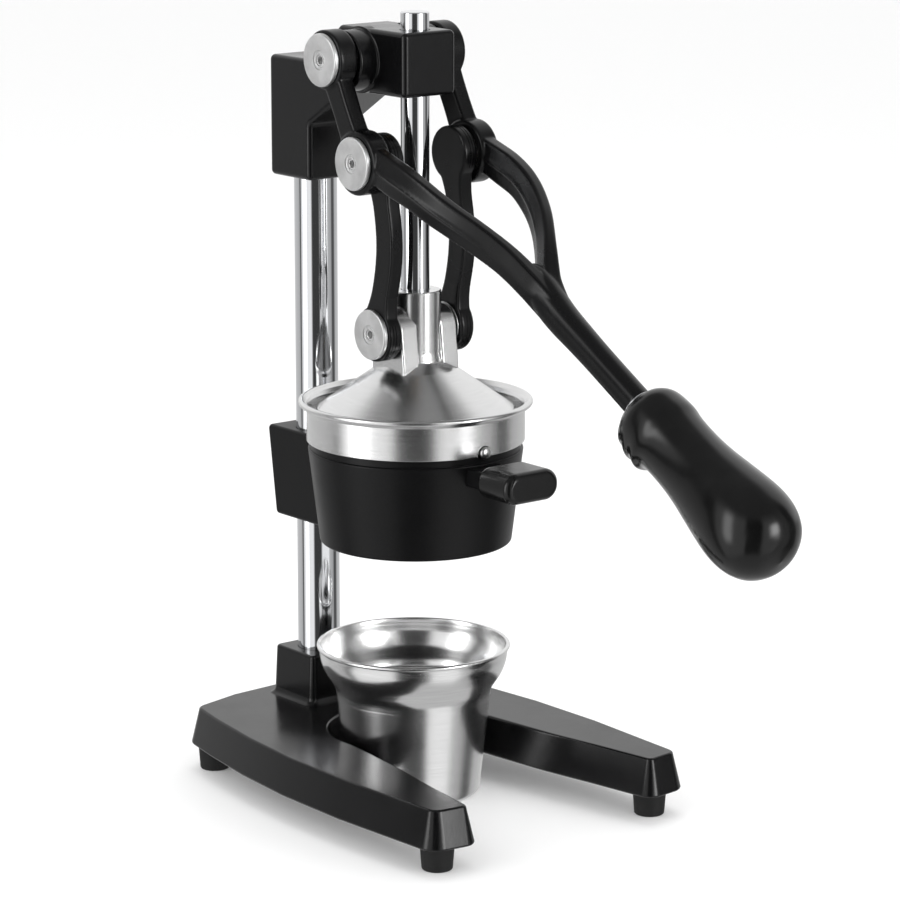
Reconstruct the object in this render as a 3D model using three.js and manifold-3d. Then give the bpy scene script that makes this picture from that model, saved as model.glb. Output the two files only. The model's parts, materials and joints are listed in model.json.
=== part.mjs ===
// Hand-operated citrus press: cast frame, chromed column and guide shaft, lever with a twin-arm
// fork, press cone, strainer in a funnel holder, and a loose juice cup.
// Millimetres, +Z up, the front of the machine faces -Y. The machine group's own axis is the
// guide shaft's, and each moving body is a nested group placed at its pivot.
import * as THREE from 'three';
import { mergeVertices } from 'three/addons/utils/BufferGeometryUtils.js';
import Module from 'manifold-3d';

const wasm = await Module();
wasm.setup();

// ---- driving dimensions -------------------------------------------------------------------
const SHIFT_Y = 83.4;          // moves the guide shaft axis so the whole part is centred on Y = 0
const GAP = 0.3;               // running and fitting clearance

const COLUMN = { r: 12, y: 90, bottom: 20.3, top: 396, tapR: 5.3, tapDepth: 26 };
const BASE = { bottom: 14.5, top: 35.7, draft: 4.5, notchR: 46.5, notchY: 5 };
const FOOT = { h: 14.2, rTop: 9.3, rBottom: 8.2, recessR: 5, recess: 5.2, boreR: 2.4,
  front: [74, -112], rear: [64, 104] };
const SOCKET = { half: 18, top: 64, corner: 3 };
const SET_SCREW = { r: 3, holeR: 3.3, hexR: 1.5, hexDepth: 2.4 };
const HEAD = { half: 17.5, front: -13.4, rear: 109, top: 424, under: 389.3, edge: 2.8,
  rearTop: 402.6, rearUnder: 335.5, rearFront: 72, bossR: 16.5, bossX: 29.5, bossDrop: 1.6 };
const BUSH = { r: 10, cap: 3.3 };
const SHAFT = { r: 7.75, bottom: 244.3, top: 433.7, studR: 4, studBottom: 230.4 };
const H = { y: 25, z: 408.5 };     // lever pivot
const E = { y: -2.5, z: 356 };     // elbow pivot
const L = { y: 0, z: 262 };        // press pivot
const LEVER = { angle: 30.4, x0: 30.8, x1: 42.5, headR: 16, elbowR: 17.2, barR: 8,
  shoulder: 210.4, tangR: 6, tangStart: 200, tangEnd: 266 };
const GRIP = { start: 213, length: 118.3, bore: 6.3, boreDepth: 54.5, bulge: 3.2, bulgeAt: 12,
  bulgeReach: 13 };
// disc heads of the pins: wide on the left, plain and narrower on the right
const CAP = { r: 14.3, t: 2.6, pinR: 6, dishR: 5.2, dish: 0.8, hexR: 2.4, pressR: 13.6, rightR: 11.2 };
const LINK = { x0: 20.6, x1: 29, eyeR: 15, width: 13.9, bow: 8.1, bowPower: 1.8,
  flare: 8, flareReach: 0.27, boreR: 6.3 };
const CONE = { r: 53.7, edge: 215.5, brim: 218.5, top: 241, neckR: 21.5,
  sleeveR: 14, sleeveTop: 283.7, lugX: 19, lugR: 12 };
const STRAINER = { rimR: 64, rimTop: 223.8, wallR: 59.7, skirt: 201, sheet: 1.5, rollR: 1.7 };
const REAMER = { lobes: 8, around: 32, slots: 16, slotIn: 33, slotOut: 49, slotHalf: 0.9 };
const HOLDER = { topR: 59, top: 197, bottomR: 52.5, bottom: 144.3, collarTop: 207.2,
  collarR: 57.8, throatR: 55, outletR: 11, bracketHalf: 17, bracketTop: 192, bracketBottom: 141 };
const TAB = { half: 18, height: 17, z: 191.5, y0: -73.5, y1: -101, corner: 8.2, edge: 2.8,
  neckHalf: 10.5, screwY: -86 };
const LOCATOR = { z: 203.2, shankR: 1.7, domeY: -60.4 };
const CUP = { y: 2.5, rimR: 53.5, height: 85, bottomR: 37, sheet: 1.2, rollR: 1.2 };

// ---- finishes -----------------------------------------------------------------------------
const finish = (color, metalness, roughness) => () =>
  new THREE.MeshStandardMaterial({ color, metalness, roughness });
const BLACK_PAINT = finish(0x17181a, 0.25, 0.45);
const BLACK_GLOSS = finish(0x0b0b0c, 0.0, 0.18);
const RUBBER = finish(0x111111, 0.0, 0.9);
const CHROME = finish(0xe6e8ea, 1.0, 0.12);
const STEEL = finish(0xc4c6c9, 1.0, 0.3);
const SATIN = finish(0xa9abae, 0.9, 0.45);
const BRONZE = finish(0xa87b45, 0.9, 0.4);

// ---- solids -------------------------------------------------------------------------------
// welded copy without seams or empty faces, facing outwards
function clean(source) {
  let geo = source.clone();
  for (const name of Object.keys(geo.attributes)) if (name !== 'position') geo.deleteAttribute(name);
  geo = mergeVertices(geo, 1e-4);
  const p = geo.attributes.position;
  const idx = [];
  let volume = 0;
  for (let i = 0; i < geo.index.count; i += 3) {
    const t = [0, 1, 2].map((k) => geo.index.getX(i + k));
    if (new Set(t).size < 3) continue;
    const [a, b, c] = t.map((k) => new THREE.Vector3().fromBufferAttribute(p, k));
    volume += a.dot(b.cross(c));
    idx.push(...t);
  }
  if (volume < 0) for (let i = 0; i < idx.length; i += 3) [idx[i], idx[i + 1]] = [idx[i + 1], idx[i]];
  geo.setIndex(idx);
  return geo;
}

function solid(source) {
  if (source.getMesh) return source;
  const geo = clean(source);
  return new wasm.Manifold(new wasm.Mesh({ numProp: 3,
    vertProperties: new Float32Array(geo.attributes.position.array),
    triVerts: new Uint32Array(geo.index.array) }));
}
const join = (...list) => list.map(solid).reduce((m, g) => m.add(g));
const cut = (body, ...list) => list.map(solid).reduce((m, g) => m.subtract(g), solid(body));

function geometryOf(body) {
  if (!body.getMesh) return clean(body);
  const mesh = body.getMesh();
  const geo = new THREE.BufferGeometry();
  geo.setAttribute('position', new THREE.BufferAttribute(new Float32Array(mesh.vertProperties), 3));
  geo.setIndex(new THREE.BufferAttribute(new Uint32Array(mesh.triVerts), 1));
  return geo;
}

// turned body about a vertical axis; profile is [radius, height] pairs
function turned(profile, seg = 28, x = 0, y = 0) {
  const g = new THREE.LatheGeometry(profile.map(([r, z]) => new THREE.Vector2(r, z)), seg);
  return g.rotateX(Math.PI / 2).translate(x, y, 0);
}
// turned body about an axis along X at (y, z); profile is [radius, x] pairs
function turnedX(profile, seg = 24, y = 0, z = 0) {
  const g = new THREE.LatheGeometry(profile.map(([r, x]) => new THREE.Vector2(r, x)), seg);
  return g.rotateZ(-Math.PI / 2).translate(0, y, z);
}
const solidRod = (r, a, b) => [[0, a], [r, a], [r, b], [0, b]];
const rodZ = (r, z0, z1, x = 0, y = 0, seg = 16) => turned(solidRod(r, z0, z1), seg, x, y);
const rodX = (r, x0, x1, y = 0, z = 0, seg = 16) => turnedX(solidRod(r, x0, x1), seg, y, z);
function rodY(r, y0, y1, x = 0, z = 0, seg = 12) {
  return new THREE.CylinderGeometry(r, r, Math.abs(y1 - y0), seg).translate(x, (y0 + y1) / 2, z);
}
const block = (x0, x1, y0, y1, z0, z1) => new THREE.BoxGeometry(x1 - x0, y1 - y0, z1 - z0)
  .translate((x0 + x1) / 2, (y0 + y1) / 2, (z0 + z1) / 2);

const signedArea = (poly) => THREE.ShapeUtils.area(poly.map(([u, v]) => new THREE.Vector2(u, v)));

// skin through rings that share one point count; flat holds the 2-D outline used for both ends
function loft(rings, flat) {
  const n = rings[0].length;
  const idx = [];
  for (let k = 0; k + 1 < rings.length; k++) {
    for (let i = 0; i < n; i++) {
      const a = k * n + i;
      const b = k * n + (i + 1) % n;
      idx.push(a, b, b + n, a, b + n, a + n);
    }
  }
  const last = (rings.length - 1) * n;
  const turn = signedArea(flat) > 0;
  const caps = THREE.ShapeUtils.triangulateShape(flat.map(([u, v]) => new THREE.Vector2(u, v)), []);
  for (const [a, b, c] of caps) {
    const same = signedArea([flat[a], flat[b], flat[c]]) > 0 === turn;
    const [q, r, s] = same ? [a, b, c] : [a, c, b];
    idx.push(s, r, q, last + q, last + r, last + s);
  }
  const geo = new THREE.BufferGeometry();
  geo.setAttribute('position', new THREE.BufferAttribute(new Float32Array(rings.flat(2)), 3));
  geo.setIndex(idx);
  return geo;
}

// polygon with rounded corners; corners are [u, v, radius]
function rounded(corners, steps = 2) {
  const out = [];
  corners.forEach(([u, v, r = 0], i) => {
    if (!r) {
      out.push([u, v]);
      return;
    }
    const p = corners[(i + corners.length - 1) % corners.length];
    const q = corners[(i + 1) % corners.length];
    const o = new THREE.Vector2(u, v);
    const d0 = new THREE.Vector2(p[0] - u, p[1] - v).normalize();
    const d1 = new THREE.Vector2(q[0] - u, q[1] - v).normalize();
    const half = Math.acos(THREE.MathUtils.clamp(d0.dot(d1), -1, 1)) / 2;
    const reach = r / Math.tan(half);
    const centre = d0.clone().add(d1).normalize().multiplyScalar(r / Math.sin(half)).add(o);
    const a = d0.multiplyScalar(reach).add(o).sub(centre);
    const b = d1.multiplyScalar(reach).add(o).sub(centre);
    const sweep = THREE.MathUtils.euclideanModulo(b.angle() - a.angle() + Math.PI, 2 * Math.PI) - Math.PI;
    for (let k = 0; k <= steps; k++) {
      const w = a.angle() + (sweep * k) / steps;
      out.push([centre.x + r * Math.cos(w), centre.y + r * Math.sin(w)]);
    }
  });
  return out;
}

// moves every side of a polygon outwards by d
function offset(poly, d) {
  const sign = Math.sign(signedArea(poly));
  return poly.map(([u, v], i) => {
    const p = poly[(i + poly.length - 1) % poly.length];
    const q = poly[(i + 1) % poly.length];
    const a = new THREE.Vector2(u - p[0], v - p[1]).normalize();
    const b = new THREE.Vector2(q[0] - u, q[1] - v).normalize();
    const na = new THREE.Vector2(a.y, -a.x).multiplyScalar(sign);
    const nb = new THREE.Vector2(b.y, -b.x).multiplyScalar(sign);
    const m = na.clone().add(nb).normalize();
    const k = d / Math.max(0.5, m.dot(na));
    return [u + m.x * k, v + m.y * k];
  });
}

// outline carried from a0 to a1 with rims rounded by r; grow0 widens it at the a0 end
function extrude(poly, a0, a1, r, place, steps = 2, grow0 = 0) {
  const rims = [];
  for (let k = 0; k <= steps; k++) {
    const w = (Math.PI / 2) * (k / steps);
    rims.push([a0 + r * (1 - Math.cos(w)), grow0 - r * (1 - Math.sin(w))]);
  }
  for (let k = 0; k <= steps; k++) {
    const w = (Math.PI / 2) * (k / steps);
    rims.push([a1 - r * (1 - Math.sin(w)), -r * (1 - Math.cos(w))]);
  }
  return loft(rims.map(([a, d]) => offset(poly, d).map(([u, v]) => place(u, v, a))), offset(poly, -r));
}
const inXY = (u, v, a) => [u, v, a];
const inYZ = (u, v, a) => [a, u, v];
const inXZ = (u, v, a) => [u, a, v];

const arc = (cu, cv, r, a0, a1, n) => Array.from({ length: n + 1 }, (_, i) => {
  const w = THREE.MathUtils.degToRad(a0 + ((a1 - a0) * i) / n);
  return [cu + r * Math.cos(w), cv + r * Math.sin(w)];
});

// ---- groups -------------------------------------------------------------------------------
const part = new THREE.Group();
part.name = 'citrus_press';
function group(name, parent, y = 0, z = 0, turn = 0) {
  const made = new THREE.Group();
  made.name = name;
  made.position.set(0, y, z);
  made.rotation.x = turn;
  parent.add(made);
  return made;
}
const tilt = THREE.MathUtils.degToRad(LEVER.angle);
const linkLength = Math.hypot(E.y - L.y, E.z - L.z);
const machine = group('machine', part, SHIFT_Y);
const frameBody = group('frame_body', machine);
const pressBody = group('press_body', machine);
const cupBody = group('cup_body', machine, CUP.y);
const leverBody = group('lever_body', machine, E.y, E.z, tilt);     // -Y runs along the lever
const linkBody = group('link_body', machine, L.y, L.z, Math.atan2(L.y - E.y, E.z - L.z));

function add(parent, name, body, material, at = [0, 0, 0]) {
  const geo = geometryOf(body);
  geo.computeVertexNormals();
  const mesh = new THREE.Mesh(geo, material());
  mesh.name = name;
  mesh.position.set(...at);
  parent.add(mesh);
  return mesh;
}
const sides = [['left', -1], ['right', 1]];

// ---- base ---------------------------------------------------------------------------------
const mirrorX = (list) => list.slice().reverse().map(([x, y, r]) => [-x, y, r]);
const outerSide = [[40, 118.6], [71, 111, 8], [77, 83], [83.5, 43], [87.6, 0], [88.2, -50],
  [84.2, -122, 6], [63.5, -124.5, 3], [58, -88], [52, -54], [47.5, -15]];
const half = [...outerSide, ...arc(0, BASE.notchY, BASE.notchR, -8, 72, 4)];
const baseOutline = rounded([[0, 121], ...half, [0, BASE.notchY + BASE.notchR], ...mirrorX(half)]);
const baseBody = extrude(baseOutline, BASE.bottom, BASE.top, 1.5, inXY, 2, BASE.draft);
const square = (s, r, cy) => rounded([[-s, cy - s, r], [s, cy - s, r], [s, cy + s, r], [-s, cy + s, r]]);
const socketOutline = square(SOCKET.half, SOCKET.corner, COLUMN.y);
const socket = loft([[34, 4], [BASE.top + 0.2, 3], [37.6, 1.7], [40, 1.2], [SOCKET.top - 1.5, 0],
  [SOCKET.top - 0.4, -0.5], [SOCKET.top, -1.5]].map(([z, d]) =>
  offset(socketOutline, d).map(([u, v]) => [u, v, z])), socketOutline);
const setScrewHole = (z) => rodY(SET_SCREW.holeR, COLUMN.y + COLUMN.r - 1, HEAD.rear + 12, 0, z);
const columnBore = (z0, z1) => rodZ(COLUMN.r + GAP, z0, z1, 0, COLUMN.y, 28);
const footSpots = [['front_left', -1, FOOT.front], ['front_right', 1, FOOT.front],
  ['rear_left', -1, FOOT.rear], ['rear_right', 1, FOOT.rear]];
add(frameBody, 'base_casting', cut(join(baseBody, socket),
  columnBore(COLUMN.bottom - GAP, SOCKET.top + 4),
  rodZ(COLUMN.tapR, BASE.bottom - 2, COLUMN.bottom + 1, 0, COLUMN.y, 12),
  setScrewHole(51),
  ...footSpots.map(([, s, [x, y]]) => rodZ(2.3, BASE.bottom - 1, BASE.bottom + 11, s * x, y, 8))),
BLACK_PAINT);

const footProfile = [[FOOT.boreR, FOOT.recess], [FOOT.recessR, FOOT.recess], [FOOT.recessR, 0],
  [FOOT.rBottom - 0.8, 0], [FOOT.rBottom, 0.8], [FOOT.rTop, FOOT.h], [FOOT.boreR, FOOT.h],
  [FOOT.boreR, FOOT.recess]];
const footScrew = [[0, 2.6], [4.2, 2.6], [4.2, 4.9], [2, 4.9], [2, BASE.bottom + 10.4],
  [0, BASE.bottom + 10.4]];
for (const [spot, s, [x, y]] of footSpots) {
  add(frameBody, `foot_${spot}`, turned(footProfile, 16), RUBBER, [s * x, y, 0]);
  add(frameBody, `foot_screw_${spot}`, turned(footScrew, 8), STEEL, [s * x, y, 0]);
}

// ---- column -------------------------------------------------------------------------------
add(frameBody, 'column', cut(turned([[0, COLUMN.bottom], [COLUMN.r - 1, COLUMN.bottom],
  [COLUMN.r, COLUMN.bottom + 1], [COLUMN.r, COLUMN.top - 1], [COLUMN.r - 1, COLUMN.top],
  [0, COLUMN.top]], 28),
rodZ(COLUMN.tapR, COLUMN.bottom - 1, COLUMN.bottom + COLUMN.tapDepth, 0, 0, 12)), CHROME,
[0, COLUMN.y, 0]);
const hexHead = (r, z0, z1) => rodZ(r, z0, z1, 0, 0, 6);
add(frameBody, 'column_bolt', join(hexHead(8.8, 6.2, 12.2),
  rodZ(10.5, 12, BASE.bottom - GAP, 0, 0, 16),
  rodZ(5, 13, COLUMN.bottom + COLUMN.tapDepth - 1, 0, 0, 12)), STEEL, [0, COLUMN.y, 0]);

// ---- head ---------------------------------------------------------------------------------
const corner = HEAD.edge + 0.2;
const headProfile = rounded([[HEAD.front, HEAD.under, corner], [36, HEAD.under, 4],
  [HEAD.rearFront, 367, 4], [HEAD.rearFront, HEAD.rearUnder, corner],
  [HEAD.rear, HEAD.rearUnder, corner], [HEAD.rear, HEAD.rearTop, corner], [64, HEAD.rearTop, 5],
  [48, HEAD.top - 3, 3], [44, HEAD.top, 3], [HEAD.front, HEAD.top, corner]], 2);
const headBosses = sides.map(([, s]) => turnedX([[0, s * 12], [HEAD.bossR + 1.5, s * 12],
  [HEAD.bossR + 1.5, s * (HEAD.half + 0.4)], [HEAD.bossR, s * (HEAD.half + 2)],
  [HEAD.bossR, s * (HEAD.bossX - 0.8)], [HEAD.bossR - 0.8, s * HEAD.bossX], [0, s * HEAD.bossX]],
24, H.y, H.z - HEAD.bossDrop));
add(frameBody, 'head_casting', cut(
  join(extrude(headProfile, -HEAD.half, HEAD.half, HEAD.edge, inYZ), ...headBosses),
  columnBore(HEAD.rearUnder - 3, COLUMN.top + GAP),
  rodZ(BUSH.r + GAP, HEAD.under - 2, HEAD.top - 3, 0, 0, 20),
  rodZ(SHAFT.r + 0.5, HEAD.top - 4, HEAD.top + 2, 0, 0, 20),
  setScrewHole(350), setScrewHole(384),
  ...sides.map(([, s]) => rodX(CAP.pinR + GAP, s * 15.5, s * (HEAD.bossX + 2), H.y, H.z))),
BLACK_PAINT);
add(frameBody, 'guide_bush', turned([[SHAFT.r + GAP, HEAD.under + 1], [BUSH.r, HEAD.under + 1],
  [BUSH.r, HEAD.top - BUSH.cap], [SHAFT.r + GAP, HEAD.top - BUSH.cap],
  [SHAFT.r + GAP, HEAD.under + 1]], 20), BRONZE);

// [node, height, outer end]
const setScrews = [['base_set_screw', 51, 107], ['head_set_screw_lower', 350, 108],
  ['head_set_screw_upper', 384, 108], ['holder_set_screw_lower', 154, 107.5],
  ['holder_set_screw_upper', 180, 110.5]];
for (const [name, z, end] of setScrews) {
  const length = end - (COLUMN.y + COLUMN.r + GAP);
  add(frameBody, name, cut(rodY(SET_SCREW.r, -length, 0),
    rodY(SET_SCREW.hexR, -SET_SCREW.hexDepth, 1, 0, 0, 6)), STEEL, [0, end, z]);
}

// ---- juice holder -------------------------------------------------------------------------
const funnelInside = [[HOLDER.throatR, 188], [48, 178], [14, 158], [HOLDER.outletR, 154]];
const funnel = turned([[HOLDER.outletR, HOLDER.bottom], [HOLDER.bottomR - 1.4, HOLDER.bottom],
  [HOLDER.bottomR, HOLDER.bottom + 1.6], [HOLDER.topR, HOLDER.top - 1],
  [HOLDER.topR - 1, HOLDER.top], [HOLDER.collarR, HOLDER.top],
  [HOLDER.collarR, HOLDER.collarTop], [HOLDER.throatR, HOLDER.collarTop],
  ...funnelInside, [HOLDER.outletR, HOLDER.bottom]], 40);
const holderVoid = turned([[0, HOLDER.collarTop + 3], [HOLDER.throatR, HOLDER.collarTop + 3],
  ...funnelInside, [HOLDER.outletR, HOLDER.bottom - 5], [0, HOLDER.bottom - 5]], 40);
const bracketSide = rounded([[40, HOLDER.bracketBottom, 2.5], [107.8, HOLDER.bracketBottom, 2.5],
  [115, HOLDER.bracketTop, 2.5], [40, HOLDER.bracketTop, 2.5]]);
const bracket = extrude(bracketSide, -HOLDER.bracketHalf, HOLDER.bracketHalf, 2, inYZ);
const neckOutline = rounded([[-TAB.neckHalf, TAB.y0 + GAP, 1], [TAB.neckHalf, TAB.y0 + GAP, 1],
  [TAB.neckHalf, -55.4, 1], [-TAB.neckHalf, -55.4, 1]], 1);
const tabNeck = join(extrude(neckOutline, 185.5, 195.8, 0.9, inXY, 1),
  block(-6, 6, -92, -70, 188, 194.5));
add(frameBody, 'holder_casting', cut(join(cut(join(funnel, bracket), holderVoid), tabNeck),
  columnBore(HOLDER.bracketBottom - 3, HOLDER.bracketTop + 3),
  setScrewHole(154), setScrewHole(180),
  rodY(LOCATOR.shankR + GAP, -54, -62, 0, LOCATOR.z),
  rodZ(1.8, 186.5, 193, 0, TAB.screwY, 10)),
BLACK_PAINT);

const tabFace = rounded([-1, 1].flatMap((w) => [-1, 1].map((u) =>
  [-u * w * TAB.half, TAB.z + (w * TAB.height) / 2, TAB.corner])), 4);
add(frameBody, 'tab_handle', cut(extrude(tabFace, TAB.y1, TAB.y0, TAB.edge, inXZ),
  block(-6.3, 6.3, -92.3, TAB.y0 + 2, 187.7, 194.8),
  rodZ(2, 180, 189, 0, TAB.screwY, 12), rodZ(4, 180, 185.2, 0, TAB.screwY, 16)), BLACK_GLOSS);
add(frameBody, 'tab_screw', turned([[0, 183.2], [3.6, 183.2], [3.6, 184.9], [1.5, 184.9],
  [1.5, 192.5], [0, 192.5]], 12), STEEL, [0, TAB.screwY, 0]);
const dome = turned([[0, -1.6], [3, -1.6], [3.4, -0.9], [3.4, 0.9], [2.6, 1.6], [0, 2]], 16);
add(frameBody, 'strainer_pin', join(rodY(LOCATOR.shankR, 5.2, 0.8), dome.rotateX(Math.PI / 2)), STEEL,
  [0, LOCATOR.domeY, LOCATOR.z]);

// ---- strainer with centre reamer ----------------------------------------------------------
const SEAT = HOLDER.collarTop + GAP;
const WALL_OUT = STRAINER.wallR;
const WALL_IN = STRAINER.wallR - STRAINER.sheet;
const roll = arc(STRAINER.rimR - STRAINER.rollR, STRAINER.rimTop - STRAINER.rollR, STRAINER.rollR,
  -110, 120, 4);
const strainerShell = turned([[0, 192.4], [53, 195.4], [54.2, 197], [54.4, SEAT],
  [WALL_IN, SEAT], [WALL_IN, STRAINER.skirt], [WALL_OUT, STRAINER.skirt],
  [WALL_OUT, STRAINER.rimTop - 4], ...roll, [WALL_OUT - 0.4, STRAINER.rimTop - 2.2],
  [WALL_IN, STRAINER.rimTop - 4.2], [WALL_IN, 210.6], [WALL_IN - 1.4, SEAT + STRAINER.sheet],
  [53, SEAT + STRAINER.sheet - 0.2], [52.4, 197.6], [0, 194.4]], 40);
// [height, radius, depth of the flutes]
const reamerRings = [[193, 27, 0.5], [196, 26.6, 1.6], [201, 25, 2.6], [207, 21.8, 2.8],
  [213, 16.6, 2.4], [218, 10.6, 1.7], [221.5, 5, 0.8], [222.6, 1.6, 0.2]].map(([z, r, d]) =>
  Array.from({ length: REAMER.around }, (_, i) => {
    const w = (2 * Math.PI * i) / REAMER.around;
    const k = r - d * (1 - Math.abs(Math.cos((REAMER.lobes * w) / 2)));
    return [k * Math.cos(w), k * Math.sin(w), z];
  }));
const reamer = loft(reamerRings, reamerRings[0].map(([x, y]) => [x, y]));
const slots = Array.from({ length: REAMER.slots }, (_, i) =>
  block(REAMER.slotIn, REAMER.slotOut, -REAMER.slotHalf, REAMER.slotHalf, 190, 200)
    .rotateZ((2 * Math.PI * (i + 0.5)) / REAMER.slots));
add(frameBody, 'strainer', cut(join(strainerShell, reamer), ...slots,
  rodY(4.4, -62, -54, 0, 202.6, 16), block(-4.4, 4.4, -62, -54, 198, 202.6)), STEEL);

// ---- press cone and guide shaft -----------------------------------------------------------
const coneShell = turned([[0, 238.2], [20, 237.8], [CONE.r - 3.4, CONE.edge + 1],
  [CONE.r - 3, CONE.edge], [CONE.r, CONE.edge], [CONE.r, CONE.brim - 0.6],
  [CONE.r - 0.6, CONE.brim], [CONE.neckR + 1, CONE.top - 0.6], [CONE.neckR - 2, CONE.top + 1.6],
  [CONE.sleeveR + 1.2, 246], [CONE.sleeveR, 250], [CONE.sleeveR, CONE.sleeveTop - 0.8],
  [CONE.sleeveR - 0.8, CONE.sleeveTop], [0, CONE.sleeveTop]], 36);
const lugFace = [...arc(L.y, L.z, CONE.lugR, 0, 180, 8), [-14, 244], [-14, 238.7], [14, 238.7], [14, 244]];
const lugs = sides.map(([, s]) => {
  const [x0, x1] = [s * 8, s * CONE.lugX].sort((a, b) => a - b);
  return extrude(lugFace, x0, x1, 1, inYZ, 1);
});
add(pressBody, 'press_cone', cut(join(coneShell, ...lugs),
  rodZ(SHAFT.r + GAP, SHAFT.bottom - GAP, CONE.sleeveTop + 3, 0, 0, 24),
  rodZ(SHAFT.studR + GAP, 233, SHAFT.bottom + 1, 0, 0, 12)), SATIN);
add(pressBody, 'guide_shaft', join(turned([[0, SHAFT.bottom], [SHAFT.r, SHAFT.bottom],
  [SHAFT.r, SHAFT.top - 1], [SHAFT.r - 1, SHAFT.top], [0, SHAFT.top]], 24),
rodZ(SHAFT.studR, SHAFT.studBottom, SHAFT.bottom + 1, 0, 0, 12)), CHROME);
add(pressBody, 'shaft_nut', cut(join(hexHead(7.4, 230.9, 236.4), rodZ(8.6, 236.2, 237.5, 0, 0, 20)),
  rodZ(SHAFT.studR + GAP, 229, 239, 0, 0, 12)), STEEL);

// ---- lever --------------------------------------------------------------------------------
// the lever body's own frame has its origin on the elbow axis and -Y along the lever
const head = new THREE.Vector2(H.y - E.y, H.z - E.z).rotateAround(new THREE.Vector2(), -tilt);
// arm section: flat top and bottom, side faces that meet in a ridge at mid height
const armSection = (w, h) => {
  const side = [[w - 1.6, -h], [w - 0.7, -h + 1.7], [w + 0.3, 0], [w - 0.7, h - 1.7], [w - 1.6, h]];
  return [...side, ...side.slice().reverse().map(([u, v]) => [-u, v])];
};
// [distance, offset in X, height above axis, half width, half height]
const armPath = [[6, 36.6, 5.5, 5.4, 9], [17, 36.8, 7.5, 5.2, 9.6], [30, 36.6, 10, 5, 10],
  [44, 35.4, 12.2, 4.8, 9.4], [57, 32.8, 12.6, 4.6, 9.2], [69, 28.8, 12.6, 4.4, 8.9],
  [80, 24, 12.2, 4.3, 8.8], [90, 18.9, 11, 4.3, 8.7], [98, 14.6, 9.6, 4.5, 8.5],
  [105, 11, 7.8, 4.9, 8.3], [112, 7.6, 5.6, 5.2, 8.2], [120, 4.2, 3.2, 5.4, 8.2],
  [132, 1.5, 0.8, 5.4, 8]];
function forkArm(side) {
  const rings = armPath.map(([s, x, n, w, h], i) => {
    const p = armPath[Math.max(0, i - 1)];
    const q = armPath[Math.min(armPath.length - 1, i + 1)];
    const d = new THREE.Vector2(q[0] - p[0], q[1] - p[1]).normalize();
    return armSection(w, h).map(([u, v]) => [side * (x + u * d.x), u * d.y - s, n + v]);
  });
  return loft(rings, armSection(5, 8));
}
// [distance, height above axis, half width, half height]
const barPath = [[106, 5.4, 4, 5], [112, 4.6, 6.5, 7.5], [120, 2.8, 9, 9], [130, 1, 9.2, 9.4],
  [142, 0, 8.8, 9], [158, 0, 8.3, 8.4], [176, 0, LEVER.barR, LEVER.barR],
  [LEVER.shoulder - 0.8, 0, LEVER.barR, LEVER.barR],
  [LEVER.shoulder, 0, LEVER.barR - 0.8, LEVER.barR - 0.8]];
const barFlat = arc(0, 0, 1, 0, 337.5, 15);
const bar = loft(barPath.map(([s, n, rx, rz]) => barFlat.map(([u, v]) => [rx * u, -s, n + rz * v])),
  barFlat);
function crank(side) {
  const length = head.length();
  const d = head.clone().negate().normalize();
  const rings = [[0, 8.4], [14, 7.4], [length / 2, 7], [length - 14, 7.6], [length, 9]].map(([s, w]) =>
    rounded([[LEVER.x0 + 1.2, -w, 1.8], [LEVER.x1 - 0.6, -w, 1.8], [LEVER.x1 - 0.6, w, 1.8],
      [LEVER.x0 + 1.2, w, 1.8]], 2)
      .map(([x, v]) => [side * x, head.x + d.x * s - d.y * v, head.y + d.y * s + d.x * v]));
  return loft(rings, rounded([[0, -8, 1.8], [10, -8, 1.8], [10, 8, 1.8], [0, 8, 1.8]], 2));
}
const eyeRing = (r, x0, x1, edge, y = 0, z = 0) => turnedX([[0, x0], [r - edge, x0], [r, x0 + edge],
  [r, x1 - edge], [r - edge, x1], [0, x1]], 24, y, z);
const span = (s, a, b) => [s * a, s * b].sort((p, q) => p - q);
const fork = join(bar,
  rodY(LEVER.tangR, -LEVER.tangEnd, -LEVER.tangStart),
  ...sides.flatMap(([, s]) => [forkArm(s), crank(s),
    eyeRing(LEVER.headR, ...span(s, LEVER.x0, LEVER.x1), 1, head.x, head.y),
    eyeRing(LEVER.elbowR, ...span(s, LEVER.x0, LEVER.x1), 1)]));
add(leverBody, 'lever_fork', cut(fork, ...sides.flatMap(([, s]) => [[head.x, head.y], [0, 0]].map((c) =>
  rodX(CAP.pinR + GAP, s * (LEVER.x0 - 2), s * (LEVER.x1 + 2), ...c)))), BLACK_PAINT);

// [distance from the collar's face, radius]
const gripPath = [[0, 10.5], [0.8, 13.2], [2.5, 15.8], [5, 17.6], [8.5, 18.9], [14, 19.6], [20, 19.8],
  [27, 19], [36, 18.8], [46, 19.2], [56, 20.3], [67, 22.2], [78, 24], [87, 25], [94, 25],
  [100, 24.1], [105, 22.4], [109.5, 19.8], [113.5, 15.6], [116.5, 10]];
const turnedGrip = new THREE.LatheGeometry([[GRIP.boreDepth, 0], [GRIP.boreDepth, GRIP.bore],
  [0, GRIP.bore], ...gripPath, [GRIP.length, 0]].map(([t, r]) => new THREE.Vector2(r, -t)), 32);
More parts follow.
